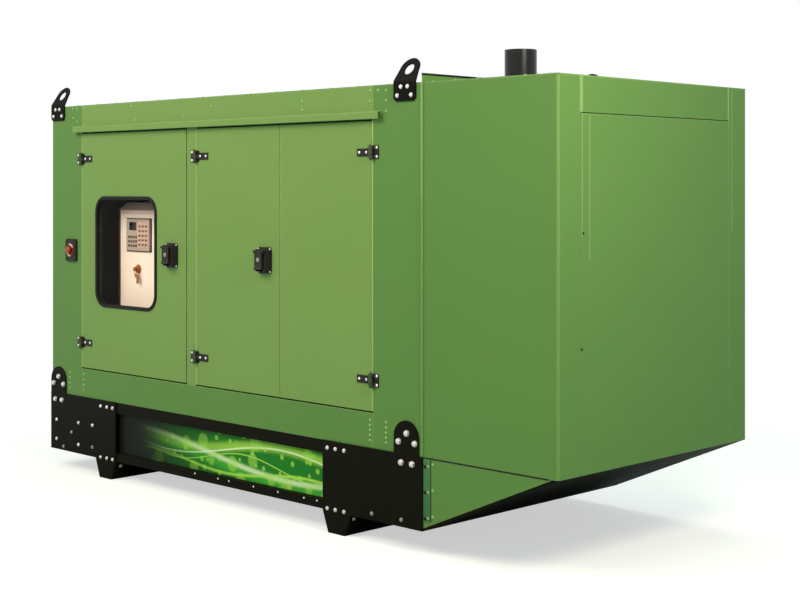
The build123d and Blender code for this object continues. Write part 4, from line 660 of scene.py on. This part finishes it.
stop = {"x": -1770, "z": 1339, "collar": (20, 44), "arcs": ((28, 100), (208, 280)), "arcRadius": 34,
        "screws": (46, 57)}
stopX, stopZ, stopY = stop["x"], stop["z"], -wallFaces["stopPlate"]
inner, outer = stop["collar"]
form = bmesh.new()
turned(form, (stopX, stopY, stopZ), nearOut,
       ((0, outer), (4.6, outer - 2), (5.2, outer - 4), (5.2, inner), (0, inner), (0, outer)), 48)
piece("stopCollar", form, skins["stopCollarPlasticPaintedShade"], "frame", 40)
# two cream arcs on the collar: release arrows, and painted highlights at the dome's top and bottom
form = bmesh.new()
for first, last in stop["arcs"]:
    turns = [math.radians(a) for a in range(first, last + 1, 6)]
    arc = [(stopX + stop["arcRadius"] * math.cos(turn), stopY - 5.6,
            stopZ + stop["arcRadius"] * math.sin(turn)) for turn in turns]
    tube(form, arc, 5.5, 8, False, 0.2)
piece("stopCreamHighlightArcs", form, skins["creamArcPaintedHighlight"], "frame", 40)
form = bmesh.new()
mushroomHead = ((0, 10), (12, 10), (12.4, 18), (14, 20.6), (16.5, 21), (20, 20.4), (23.5, 17.5), (25.2, 12),
                (25.9, 6), (26, 1))
turned(form, (stopX, stopY - 2, stopZ), nearOut, mushroomHead, 40)
mushroom = piece("stopMushroomHead", form, skins["stopRedPlastic"], "stop_plunger", 50)
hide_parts("stop_button")
form = bmesh.new()
heads(form, nearOut, wallFaces["stopPlate"], fourRound(stopX, stopZ, *stop["screws"]), panScrew, 16)
piece("stopPlateScrews", form, skins["mouldedBlackNylon"], "frame", 60)
print("latches and stop made")


# seals and foam clips

openings = ((-1666, -625), (-543, 854))
doorSeals = {"z": (627, 2051), "lap": 9, "near": -703.4, "meeting": (176, -704.4, 22), "far": 713, "farLap": 4,
             "farMiddle": 164.5, "radius": 7, "flat": 0.19, "farRadius": 4.6}
sealLow, sealHigh = doorSeals["z"]
form = bmesh.new()
for x0, x1 in openings:
    lap = doorSeals["lap"]
    tube(form, loop(x0 + lap, x1 - lap, sealLow + lap, sealHigh - lap, 20, doorSeals["near"]),
         doorSeals["radius"], 10, True, doorSeals["flat"])
piece("doorSeals", form, skins["extrudedRubber"], "frame", 60)
form = bmesh.new()
x, y, inset = doorSeals["meeting"]
tube(form, [(x, y, sealLow + inset), (x, y, sealHigh - inset)],
     doorSeals["radius"], 10, False, doorSeals["flat"])
piece("meetingSeal", form, skins["extrudedRubber"], "right_leaf", 60)
# the far doors' gaps are filled by a round bead that keeps the light out
form = bmesh.new()
y, lap = doorSeals["far"], doorSeals["farLap"]
for x0, x1 in openings:
    tube(form, loop(x0 + lap, x1 - lap, sealLow + lap, sealHigh - lap, 3, y, 2),
         doorSeals["farRadius"], 10, True)
tube(form, [(doorSeals["farMiddle"], y, z) for z in (sealLow + lap, sealHigh - lap)],
     doorSeals["farRadius"], 10)
piece("farDoorSeals", form, skins["extrudedRubber"], "frame", 60)

gasketBead = {"x": (-1509, -915), "z": (1019, 1659), "corner": 86, "y": -755, "radius": 3.4}
form = bmesh.new()
tube(form, loop(*gasketBead["x"], *gasketBead["z"], gasketBead["corner"], gasketBead["y"], 14),
     gasketBead["radius"], 12, True)
piece("gasketLockingBead", form, skins["extrudedRubber"], "control_leaf", 60)

foamClips = {"pitch": 300, "margin": 90, "back": -708, "bottom": 725, "rise": 307, "rows": 5,
             "window": (-1540, -880, 990, 1690)}
leafSpans = {"control_leaf": (-1658, -633), "left_leaf": (-535, 160.5), "right_leaf": (168.5, 846)}
clipProfile = ((0, 17), (0.8, 17), (1.2, 15), (1.2, 5), (1.9, 3.5), (2.0, 1))
for body, (x0, x1) in leafSpans.items():
    form = bmesh.new()
    left, width = x0 + foamClips["margin"], x1 - x0 - 2 * foamClips["margin"]
    columns = max(2, round(width / foamClips["pitch"]) + 1)
    for column in range(columns):
        x = left + width * column / (columns - 1)
        for row in range(foamClips["rows"]):
            z = foamClips["bottom"] + row * foamClips["rise"]
            x2, x3, z2, z3 = foamClips["window"]
            if not (body == "control_leaf" and x2 < x < x3 and z2 < z < z3):
                turned(form, (x, foamClips["back"], z), farOut, clipProfile, 20)
    piece(body + "FoamClips", form, skins["brightZincPlating"], body, 30)
print("seals and clips made")


# control cabinet

dash = {"door": -604, "x": (-1393, -1161), "z": (1345, 1531), "bezel": 7}
form = bmesh.new()
(left, right), (low, high), lip = dash["x"], dash["z"], dash["bezel"]
block(form, (left - lip, -612, low - lip), (right + lip, -603, high + lip), 3)
piece("controllerBezel", form, skins["rubberKeys"], "frame")

lcdLook = {"ground": "2c2117", "line": "1a130d", "lines": 9}


def liquidCrystal(name):
    # an unlit display: dark olive glass with faint rows of segments behind it
    material, tree, shader = newMaterial(name, {"Roughness": 0.12, "Specular IOR Level": 0.5})
    place = addNode(tree, "TexCoord").outputs["Object"]
    rows = addNode(tree, "TexWave", {"Vector": place, "Scale": mm(lcdLook["lines"]) / 20 * math.pi},
                   bands_direction="Z").outputs["Fac"]
    skin = addNode(tree, "Mix", {0: rows, 6: linear(lcdLook["ground"]), 7: linear(lcdLook["line"])},
                   data_type="RGBA").outputs[2]
    tree.links.new(skin, shader.inputs["Base Color"])
    return material


form = bmesh.new()
block(form, (-1362, -619.5, 1466), (-1291, -617.5, 1514), 0.6)
piece("controllerDisplay", form, liquidCrystal("liquidCrystalDisplay"), "frame")
form = bmesh.new()
block(form, (-1281, -619.2, 1362), (-1171, -617.5, 1518), 1.0)
piece("controllerKeypadFoil", form, skins["membraneKeypad"], "frame")
form = bmesh.new()
for column in range(4):
    for row in range(3):
        x, z = -1372 + column * 24, 1366 + row * 26
        block(form, (x, -620.5, z), (x + 15, -617.5, z + 15), 1.2)
for column in range(3):
    for row in range(5):
        x, z = -1268 + column * 32, 1375 + row * 27
        block(form, (x, -620.3, z), (x + 20, -618.5, z + 12), 1.2)
piece("controllerKeys", form, skins["rubberKeys"], "frame")

keySwitch = {"x": -1288, "z": 1236, "ring": 12, "ringDrop": 20, "ringY": -630}
keyX, keyZ = keySwitch["x"], keySwitch["z"]
form = bmesh.new()
turned(form, (keyX, dash["door"], keyZ), nearOut,
       ((0, 27), (3, 27), (4.5, 25), (4.5, 17), (9, 16), (10, 14), (10, 1)), 32)
piece("keySwitch", form, skins["keyTagLeather"], "frame", 40)
form = bmesh.new()
block(form, (keyX - 1.5, -626, keyZ - 7), (keyX + 1.5, -612, keyZ + 7), 0.6, 1)
turned(form, (keyX - 3, -630, keyZ), (1, 0, 0), ((0, 12), (1, 13.5), (5, 13.5), (6, 12)), 24)
piece("switchKey", form, skins["brassKeyBlade"], "frame", 40)
form = bmesh.new()
turns = [math.tau * k / 16 for k in range(16)]
keyRing = [(keyX + keySwitch["ring"] * math.sin(turn), keySwitch["ringY"],
            keyZ - keySwitch["ringDrop"] + keySwitch["ring"] * math.cos(turn)) for turn in turns]
tube(form, keyRing, 1.2, 8, True)
block(form, (keyX - 16, -622, keyZ - 50), (keyX + 4, -618, keyZ - 26), 3)
block(form, (keyX + 8, -627, keyZ - 84), (keyX + 30, -623, keyZ - 30), 3)
piece("keyTags", form, skins["keyTagLeather"], "frame", 40)
quarterTurn = ((0, 13), (2, 13), (3, 11.5), (3, 7), (7, 6), (8, 4.5), (8, 1))
form = bmesh.new()
for z in (700, 1380):
    turned(form, (-915, dash["door"], z), nearOut, quarterTurn, 24)
piece("cabinetQuarterTurns", form, skins["mouldedBlackNylon"], "frame", 40)
# a dark red-brown strip along the cabinet's left edge: painted shade of the cabinet's shaded side
form = bmesh.new()
block(form, (-1491.5, -607, 462), (-1472, -598, 1584), 2.5)
piece("cabinetEdgeShadeStrip", form, skins["brownEdgeShadeStrip"], "frame")
# the visor is one bent sheet, its section given as (y, z); its brownish beige is painted light and shade of
# the sloped top
visor = ((-604, 1560), (-604, 1584), (-541, 1629), (-470, 1629), (-470, 1625.5), (-540, 1625.5),
         (-600.5, 1583), (-600.5, 1560))
form = bmesh.new()
faces = [[form.verts.new((x, y, z)) for y, z in visor] for x in (-1491, -889)]
for k in range(len(visor)):
    after = (k + 1) % len(visor)
    form.faces.new((faces[0][k], faces[0][after], faces[1][after], faces[1][k]))
form.faces.new(faces[0])
form.faces.new(list(reversed(faces[1])))
piece("cabinetVisor", form, skins["visorEnamelPaintedLightAndShade"], "frame")
print("cabinet made")


# printed panel in the base

panelLook = {
    "night": "0a120a", "deep": "1e7a24", "leaf": "46b036", "lime": "b4e65a", "light": "f4fbd2",
    "rim": "cfdcb8",
    "x": (-1306, 500), "z": (157, 392), "face": -725, "inset": 2, "thick": 1.2, "rimFrom": 0.991,
    # each ribbon: bends along the panel, its swing, middle, half width, tone, strength and turn
    "ribbons": ((5.0, 0.22, 0.30, 0.30, "leaf", 0.85, 0.4), (7.2, 0.16, 0.72, 0.20, "lime", 0.70, 2.1),
                (4.1, 0.30, 0.48, 0.11, "light", 0.75, 1.2), (8.6, 0.12, 0.20, 0.06, "lime", 0.90, 0.0),
                (6.1, 0.24, 0.60, 0.035, "light", 0.95, 3.0), (9.7, 0.18, 0.40, 0.025, "lime", 0.95, 1.7)),
    "discs": ((150, 0.34, 0.28, 0.45), (64, 0.26, 0.20, 0.60)),
}


def printedDesign(name):
    # a matt print of flowing ribbons and soft discs, dark at one end and lit at the other
    material, tree, shader = newMaterial(name, {"Roughness": 0.55, "Specular IOR Level": 0.15})
    place = addNode(tree, "TexCoord").outputs["Object"]
    x, _, z = addNode(tree, "SeparateXYZ", {0: place}).outputs
    left, right, low, high = (edge / 1000 for edge in panelLook["x"] + panelLook["z"])
    along = addNode(tree, "MapRange", {0: x, 1: left, 2: right}).outputs[0]
    height = addNode(tree, "MapRange", {0: z, 1: low, 2: high}).outputs[0]
    glow = addNode(tree, "MapRange", {0: along, 1: 0.10, 2: 0.62}, interpolation_type="SMOOTHSTEP").outputs[0]
    inks = addNode(tree, "Mix", {0: glow, 6: linear(panelLook["night"]), 7: linear(panelLook["deep"])},
                   data_type="RGBA").outputs[2]
    # ribbons rise and fall along the panel, waves of unlike length laid over each other, soft at their edges
    for bends, swing, middle, width, tone, share, turn in panelLook["ribbons"]:
        phase = addNode(tree, "Math", {0: along, 1: bends, 2: turn}, operation="MULTIPLY_ADD").outputs[0]
        wave = addNode(tree, "Math", {0: phase}, operation="SINE").outputs[0]
        crest = addNode(tree, "Math", {0: wave, 1: swing, 2: middle}, operation="MULTIPLY_ADD").outputs[0]
        off = addNode(tree, "Math", {0: height, 1: crest}, operation="SUBTRACT").outputs[0]
        far = addNode(tree, "Math", {0: off}, operation="ABSOLUTE").outputs[0]
        band = addNode(tree, "MapRange", {0: far, 1: width, 2: 0.0, 3: 0.0, 4: share},
                       interpolation_type="SMOOTHERSTEP").outputs[0]
        lit = addNode(tree, "Math", {0: band, 1: glow}, operation="MULTIPLY").outputs[0]
        inks = addNode(tree, "Mix", {0: lit, 6: inks, 7: linear(panelLook[tone])}, data_type="RGBA").outputs[2]
    for size, outer, inner, share in panelLook["discs"]:
        spots = addNode(tree, "TexVoronoi", {"Vector": place, "Scale": mm(size)}).outputs["Distance"]
        disc = addNode(tree, "MapRange", {0: spots, 1: outer, 2: inner, 4: share}).outputs[0]
        seen = addNode(tree, "Math", {0: disc, 1: glow}, operation="MULTIPLY").outputs[0]
        inks = addNode(tree, "Mix", {0: seen, 6: inks, 7: linear(panelLook["lime"])},
                       data_type="RGBA").outputs[2]
    margin = addNode(tree, "Math", {0: along, 1: panelLook["rimFrom"]}, operation="GREATER_THAN").outputs[0]
    inks = addNode(tree, "Mix", {0: margin, 6: inks, 7: linear(panelLook["rim"])}, data_type="RGBA").outputs[2]
    tree.links.new(inks, shader.inputs["Base Color"])
    return material


form = bmesh.new()
(left, right), (low, high), inset = panelLook["x"], panelLook["z"], panelLook["inset"]
block(form, (left + inset, panelLook["face"] - panelLook["thick"], low + inset),
      (right - inset, panelLook["face"], high - inset), 0.4, 1)
piece("printedBasePanel", form, printedDesign("varnishedPrint"), "frame")


# hood trim

jointTrim = {"strip": (1178, 1186.5), "stripEnds": (462, 1670, 2214), "gussetStrip": (1196, 1238),
             "gussetEnds": (160, 452), "notches": (415, 294, 172), "edge": (1185, 1195, 2246, 2257)}


def onBothSides(form, x, y, z, bevel, segments=2):  # the same block against the near and the far wall
    for side in (-1, 1):
        low, high = sorted(side * depth for depth in y)
        block(form, (x[0], low, z[0]), (x[1], high, z[1]), bevel, segments)


bottom, middle, top = jointTrim["stripEnds"]
# the upper cover strips carry a painted highlight, the lower strips a dimmer painted highlight
form = bmesh.new()
onBothSides(form, jointTrim["strip"], (749.5, 754.8), (middle, top), 1.6)
piece("jointCoverStrips", form, paleHighlightStripPaint, "frame", 40)
form = bmesh.new()
onBothSides(form, jointTrim["strip"], (749.5, 754.8), (bottom, middle), 1.6)
piece("jointLowStrips", form, dimHighlightStripPaint, "frame", 40)
# the gusset strips' dark green is painted shade
form = bmesh.new()
onBothSides(form, jointTrim["gussetStrip"], (749.5, 753), jointTrim["gussetEnds"], 1.2)
piece("gussetStrips", form, shadedGussetStripPaint, "frame", 40)
form = bmesh.new()
# the gusset rivets take the pale strip green, a painted glint
for out in (nearOut, farOut):
    for z in jointTrim["notches"]:
        turned(form, (1252, out[1] * 750, z + 14), out, rivetHead, 14)
        turned(form, (1224, out[1] * 753, z + 3), out, rivetHead, 14)
piece("gussetRivets", form, paleHighlightStripPaint, "frame", 60)
# dark rubber blocks that stand as painted shadow along the gusset strip's right edge and under the hood's
# lower edge, and as three dark notches on each gusset strip
form = bmesh.new()
stripRight = jointTrim["gussetStrip"][1]
for z in jointTrim["notches"]:
    onBothSides(form, (1197, 1216), (752.5, 754.2), (z - 7, z + 7), 0.8)
onBothSides(form, (stripRight, stripRight + 4), (748, 751), jointTrim["gussetEnds"], 1)
onBothSides(form, (1194, 1944), (748, 751.5), (452, 458.5), 1)
piece("hoodPaintedShadowStrips", form, skins["extrudedRubber"], "frame", 40)

form = bmesh.new()
left, right, low, high = jointTrim["edge"]
block(form, (left, -757, low), (right, 757, high), 3)
piece("flangeEdgeTrim", form, skins["extrudedRubber"], "frame", 40)
collar = {"x": 1296, "y": -168, "z": 2221, "weld": 80.8, "screws": 92}
form = bmesh.new()
turns = [math.tau * k / 60 for k in range(60)]
ring = [(collar["x"] + collar["weld"] * math.cos(turn), collar["y"] + collar["weld"] * math.sin(turn),
         collar["z"] + 0.5) for turn in turns]
tube(form, ring, 3.2, 8, True)
for k in range(6):
    turn = math.tau * (k + 0.5) / 6
    spot = (collar["x"] + collar["screws"] * math.cos(turn), collar["y"] + collar["screws"] * math.sin(turn))
    turned(form, (*spot, collar["z"]), (0, 0, 1), panScrew, 16)
piece("stubWeldAndScrews", form, stovePaint, "frame", 60)
print("base and hood trim made")


# engine bay

engine = {"flywheel": -665, "shaft": 910, "covers": 1370, "firstCylinder": -554, "pitch": 221.7}
cylinders = [engine["firstCylinder"] + k * engine["pitch"] for k in range(6)]
form = bmesh.new()
block(form, (-600, -262, 1212), (600, -192, 1276), 16, 4)
for x in cylinders:
    turned(form, (x, -164, 1244), (0, -1, 0), ((0, 34), (3, 34), (3, 24), (34, 24)), 20)
turned(form, (-350, -227, 1276), (0, 0, 1), ((0, 42), (10, 42), (10, 34), (90, 34), (96, 38), (104, 38)), 28)
piece("intakeManifold", form, enginePaint, "frame")
form = bmesh.new()
tube(form, bent([(-560, 238, 1244), (560, 238, 1244)], 10), 42, 18)
for x in cylinders:
    tube(form, bent([(x, 164, 1244), (x, 212, 1244), (x, 238, 1236)], 14), 26, 14)
turned(form, (-60, 238, 1280), (0, 0, 1), ((0, 40), (12, 60), (40, 84), (78, 84), (96, 66), (104, 40)), 32)
piece("exhaustManifoldAndTurbo", form, skins["heatStainedCastIron"], "frame", 45)
form = bmesh.new()
canProfile = ((0, 48), (6, 52), (14, 50), (118, 50), (132, 44), (138, 30), (140, 4))
for x in (-180, -60):
    turned(form, (x, -290, 1010), (0, 0, -1), canProfile, 28)
turned(form, (240, -282, 860), (0, 0, -1), canProfile, 28)
piece("filterCans", form, skins["filterCanPaint"], "frame", 40)
form = bmesh.new()
block(form, (-240, -346, 1008), (0, -229, 1052), 8, 3)
block(form, (180, -334, 858), (300, -229, 900), 8, 3)
turned(form, (-560, -292, 800), (1, 0, 0), ((0, 40), (10, 52), (150, 52), (160, 44), (230, 44), (240, 30)), 28)
block(form, (-600, -330, 780), (-552, -229, 880), 8, 3)
turned(form, (380, -300, 1060), (1, 0, 0),
       ((0, 20), (6, 62), (20, 68), (96, 68), (110, 60), (116, 24), (140, 24)), 28)
block(form, (400, -300, 950), (470, -229, 1010), 8, 3)
piece("starterAndBrackets", form, enginePaint, "frame", 40)
form = bmesh.new()
block(form, (-470, -60, 1362), (-420, 60, 1470), 6)
block(form, (-190, -60, 1362), (-140, 60, 1470), 6)
turned(form, (-540, 0, 1560), (1, 0, 0),
       ((0, 60), (6, 118), (16, 128), (110, 128), (114, 132), (124, 132), (128, 128), (420, 128), (436, 116),
        (440, 70), (500, 66), (506, 66)), 40)
tube(form, bent([(-40, 0, 1560), (90, 0, 1560), (90, 238, 1560), (90, 238, 1410)], 70, 8), 56, 20)
piece("airCleaner", form, skins["batteryCase"], "frame", 40)
form = bmesh.new()
tube(form, bent([(600, 60, 1330), (600, 60, 1640), (880, 240, 1770), (1064, 240, 1770)], 90, 8), 30, 16)
tube(form, bent([(640, -190, 760), (760, -190, 700), (1064, -300, 580)], 60, 8), 30, 16)
tube(form, bent([(-1080, -200, 1250), (-1000, -322, 1180), (-700, -330, 1120), (560, -246, 1120)], 60, 8),
     13, 12)
tube(form, bent([(-1140, -150, 1300), (-1140, -330, 1300), (-1140, -330, 1420)], 40, 8), 22, 12)
piece("hosesAndConduits", form, skins["extrudedRubber"], "frame", 60)
form = bmesh.new()
for base, axis in (((900, 240, 1770), (1, 0, 0)), ((1040, 240, 1770), (1, 0, 0)),
                   ((1035, -290, 592), (0.94, -0.34, -0.25))):
    turned(form, base, axis, ((0, 31), (0, 33), (12, 33), (12, 31)), 28)
turned(form, (1121, 0, 1830), (0, 0, 1), ((0, 26), (4, 26), (4, 30), (16, 30), (20, 24), (20, 2)), 28)
piece("hoseClipsAndCap", form, skins["brightZincPlating"], "frame", 40)
guard = {"x": 925, "z": 1175, "radii": range(130, 451, 40), "spokes": ((922, 125), (922, 448), (945, 448))}


def onGuard(x, radius, turn):  # a place round the fan's axis
    return (x, radius * math.sin(turn), guard["z"] + radius * math.cos(turn))


form = bmesh.new()
for radius in guard["radii"]:
    tube(form, [onGuard(guard["x"], radius, math.tau * k / 48) for k in range(48)], 2.2, 6, True)
for k in range(8):
    tube(form, [onGuard(x, radius, math.tau * k / 8) for x, radius in guard["spokes"]], 3, 6)
piece("fanGuard", form, skins["brightZincPlating"], "frame", 60)
form = bmesh.new()
block(form, (-420, -640, 458), (-60, -470, 470), 2)
block(form, (-410, -632, 470), (-70, -478, 660), 8, 3)
block(form, (-414, -636, 650), (-66, -474, 684), 6, 3)
for x in (-350, -130):
    turned(form, (x, -555, 684), (0, 0, 1), ((0, 16), (3, 16), (3, 10), (20, 9), (20, 2)), 20)
piece("starterBattery", form, skins["batteryCase"], "frame", 40)
ribs = {"first": -1390, "pitch": 44, "count": 12, "radius": 271,
        "arcs": (range(20, 161, 7), range(200, 216, 5))}
form = bmesh.new()
for k in range(ribs["count"]):
    x = ribs["first"] + k * ribs["pitch"]
    for arc in ribs["arcs"]:
        turns = [math.radians(a) for a in arc]
        tube(form, [(x, ribs["radius"] * math.cos(turn), engine["shaft"] + ribs["radius"] * math.sin(turn))
                    for turn in turns], 3.4, 6)
for dx, dy in fourRound(0, 0, 135, 135):
    turned(form, (-1135 + dx, dy, 1330), (0, 0, 1), smallBolt, 24, hexRings["small"])
piece("alternatorRibs", form, alternatorPaint, "frame", 50)
form = bmesh.new()
for x in cylinders:
    for dy in (-88, 88):
        turned(form, (x, dy, engine["covers"]), (0, 0, 1), smallBolt, 24, hexRings["small"])
for k in range(18):
    turn = math.tau * k / 18
    spot = (engine["flywheel"], 262 * math.sin(turn), engine["shaft"] + 262 * math.cos(turn))
    turned(form, spot, (1, 0, 0), smallBolt, 18, hexRings["small"])
piece("engineBolts", form, skins["brightZincPlating"], "frame", 30)
print("engine bay made")


# studio

view = {"place": (5.988, -5.747, 1.723), "turn": 44.73, "lens": 66.57, "rise": -0.1414}

camera = bpy.data.objects.new("camera", bpy.data.cameras.new("camera"))
bpy.context.collection.objects.link(camera)
camera.location = view["place"]
camera.rotation_euler = (math.radians(90), 0, math.radians(view["turn"]))
camera.data.lens = view["lens"]
camera.data.sensor_width = 36
camera.data.shift_y = view["rise"]
bpy.context.scene.camera = camera

softboxes = {
    "keySoftbox": {"place": (-1.3, -5.2, 5.2), "aim": (-0.5, -0.7, 1.4), "size": (4.0, 3.0), "power": 286,
                   "tone": (1.0, 0.89, 0.73)},
    "endSoftbox": {"place": (4.0, -1.35, 3.3), "aim": (2.0, -0.3, 1.7), "size": (1.3, 1.3), "power": 94,
                   "tone": (1.0, 0.89, 0.70)},
    "topSoftbox": {"place": (0.0, 1.5, 6.5), "aim": (0, 0, 2.2), "size": (5.0, 4.0), "power": 150,
                   "tone": (1.0, 1.0, 1.0)},
}
for name, box in softboxes.items():
    lamp = bpy.data.lights.new(name, "AREA")
    lamp.shape, lamp.size, lamp.size_y = "RECTANGLE", *box["size"]
    lamp.energy = box["power"]
    lamp.color = box["tone"]
    softbox = bpy.data.objects.new(name, lamp)
    bpy.context.collection.objects.link(softbox)
    softbox.location = box["place"]
    softbox.rotation_euler = (Vector(box["aim"]) - Vector(box["place"])).to_track_quat("-Z", "Y").to_euler()

# the camera, mirrors and glass see a white backdrop; matt surfaces get a dimmer air, a little green and blue
air = {"light": 0.34, "tone": (0.56, 1.0, 0.86, 1)}


def backdropRays(tree):  # 1 for the rays that see the backdrop itself, else 0
    ray = addNode(tree, "LightPath").outputs
    mirrored = addNode(tree, "Math", {0: ray["Is Camera Ray"], 1: ray["Is Glossy Ray"]},
                       operation="MAXIMUM").outputs[0]
    return addNode(tree, "Math", {0: mirrored, 1: ray["Is Transmission Ray"]}, operation="MAXIMUM").outputs[0]


world = bpy.data.worlds.new("studioAir")
bpy.context.scene.world = world
world.use_nodes = True
sky = world.node_tree
seen = backdropRays(sky)
level = addNode(sky, "MapRange", {0: seen, 3: air["light"], 4: 1.0}).outputs[0]
tone = addNode(sky, "Mix", {0: seen, 6: air["tone"], 7: (1, 1, 1, 1)}, data_type="RGBA").outputs[2]
sky.links.new(level, sky.nodes["Background"].inputs["Strength"])
sky.links.new(tone, sky.nodes["Background"].inputs["Color"])

ground = {"size": 30, "shade": (0.62, 0.61, 0.61, 1), "bounce": (0.46, 0.60, 0.51, 1), "fade": (2.0, 4.2),
          "lift": 0.56}
mesh = bpy.data.meshes.new("studioFloor")
form = bmesh.new()
bmesh.ops.create_grid(form, x_segments=1, y_segments=1, size=ground["size"])
form.to_mesh(mesh)
form.free()
floor = bpy.data.objects.new("studioFloor", mesh)
bpy.context.collection.objects.link(floor)
# a pale paper floor that keeps the shadow by the feet and fades into the backdrop for the camera
paleFloor, paper, floorShader = newMaterial("paleStudioFloor", {"Roughness": 0.9})
distance = addNode(paper, "VectorMath", {0: addNode(paper, "NewGeometry").outputs["Position"]},
                   operation="LENGTH").outputs["Value"]
away = addNode(paper, "MapRange", {0: distance, 1: ground["fade"][0], 2: ground["fade"][1]},
               interpolation_type="SMOOTHSTEP").outputs[0]
looked = backdropRays(paper)
fade = addNode(paper, "Math", {0: away, 1: looked}, operation="MULTIPLY").outputs[0]
white = addNode(paper, "Emission", {"Color": (1, 1, 1, 1), "Strength": 1.0}).outputs[0]
# the light that the floor throws back up is a little green, as in the photo's low shadows
shade = addNode(paper, "Mix", {0: looked, 6: ground["bounce"], 7: ground["shade"]},
                data_type="RGBA").outputs[2]
paper.links.new(shade, floorShader.inputs["Base Color"])
straight = addNode(paper, "LightPath").outputs["Is Camera Ray"]
lift = addNode(paper, "Math", {0: straight, 1: ground["lift"]}, operation="MULTIPLY").outputs[0]
floorShader.inputs["Emission Color"].default_value = (1, 1, 1, 1)
paper.links.new(lift, floorShader.inputs["Emission Strength"])
both = addNode(paper, "MixShader", {0: fade, 1: floorShader.outputs[0], 2: white}).outputs[0]
paper.links.new(both, paper.nodes["Material Output"].inputs["Surface"])
mesh.materials.append(paleFloor)
print("studio set")

bpy.context.scene.view_settings.view_transform = "Standard"
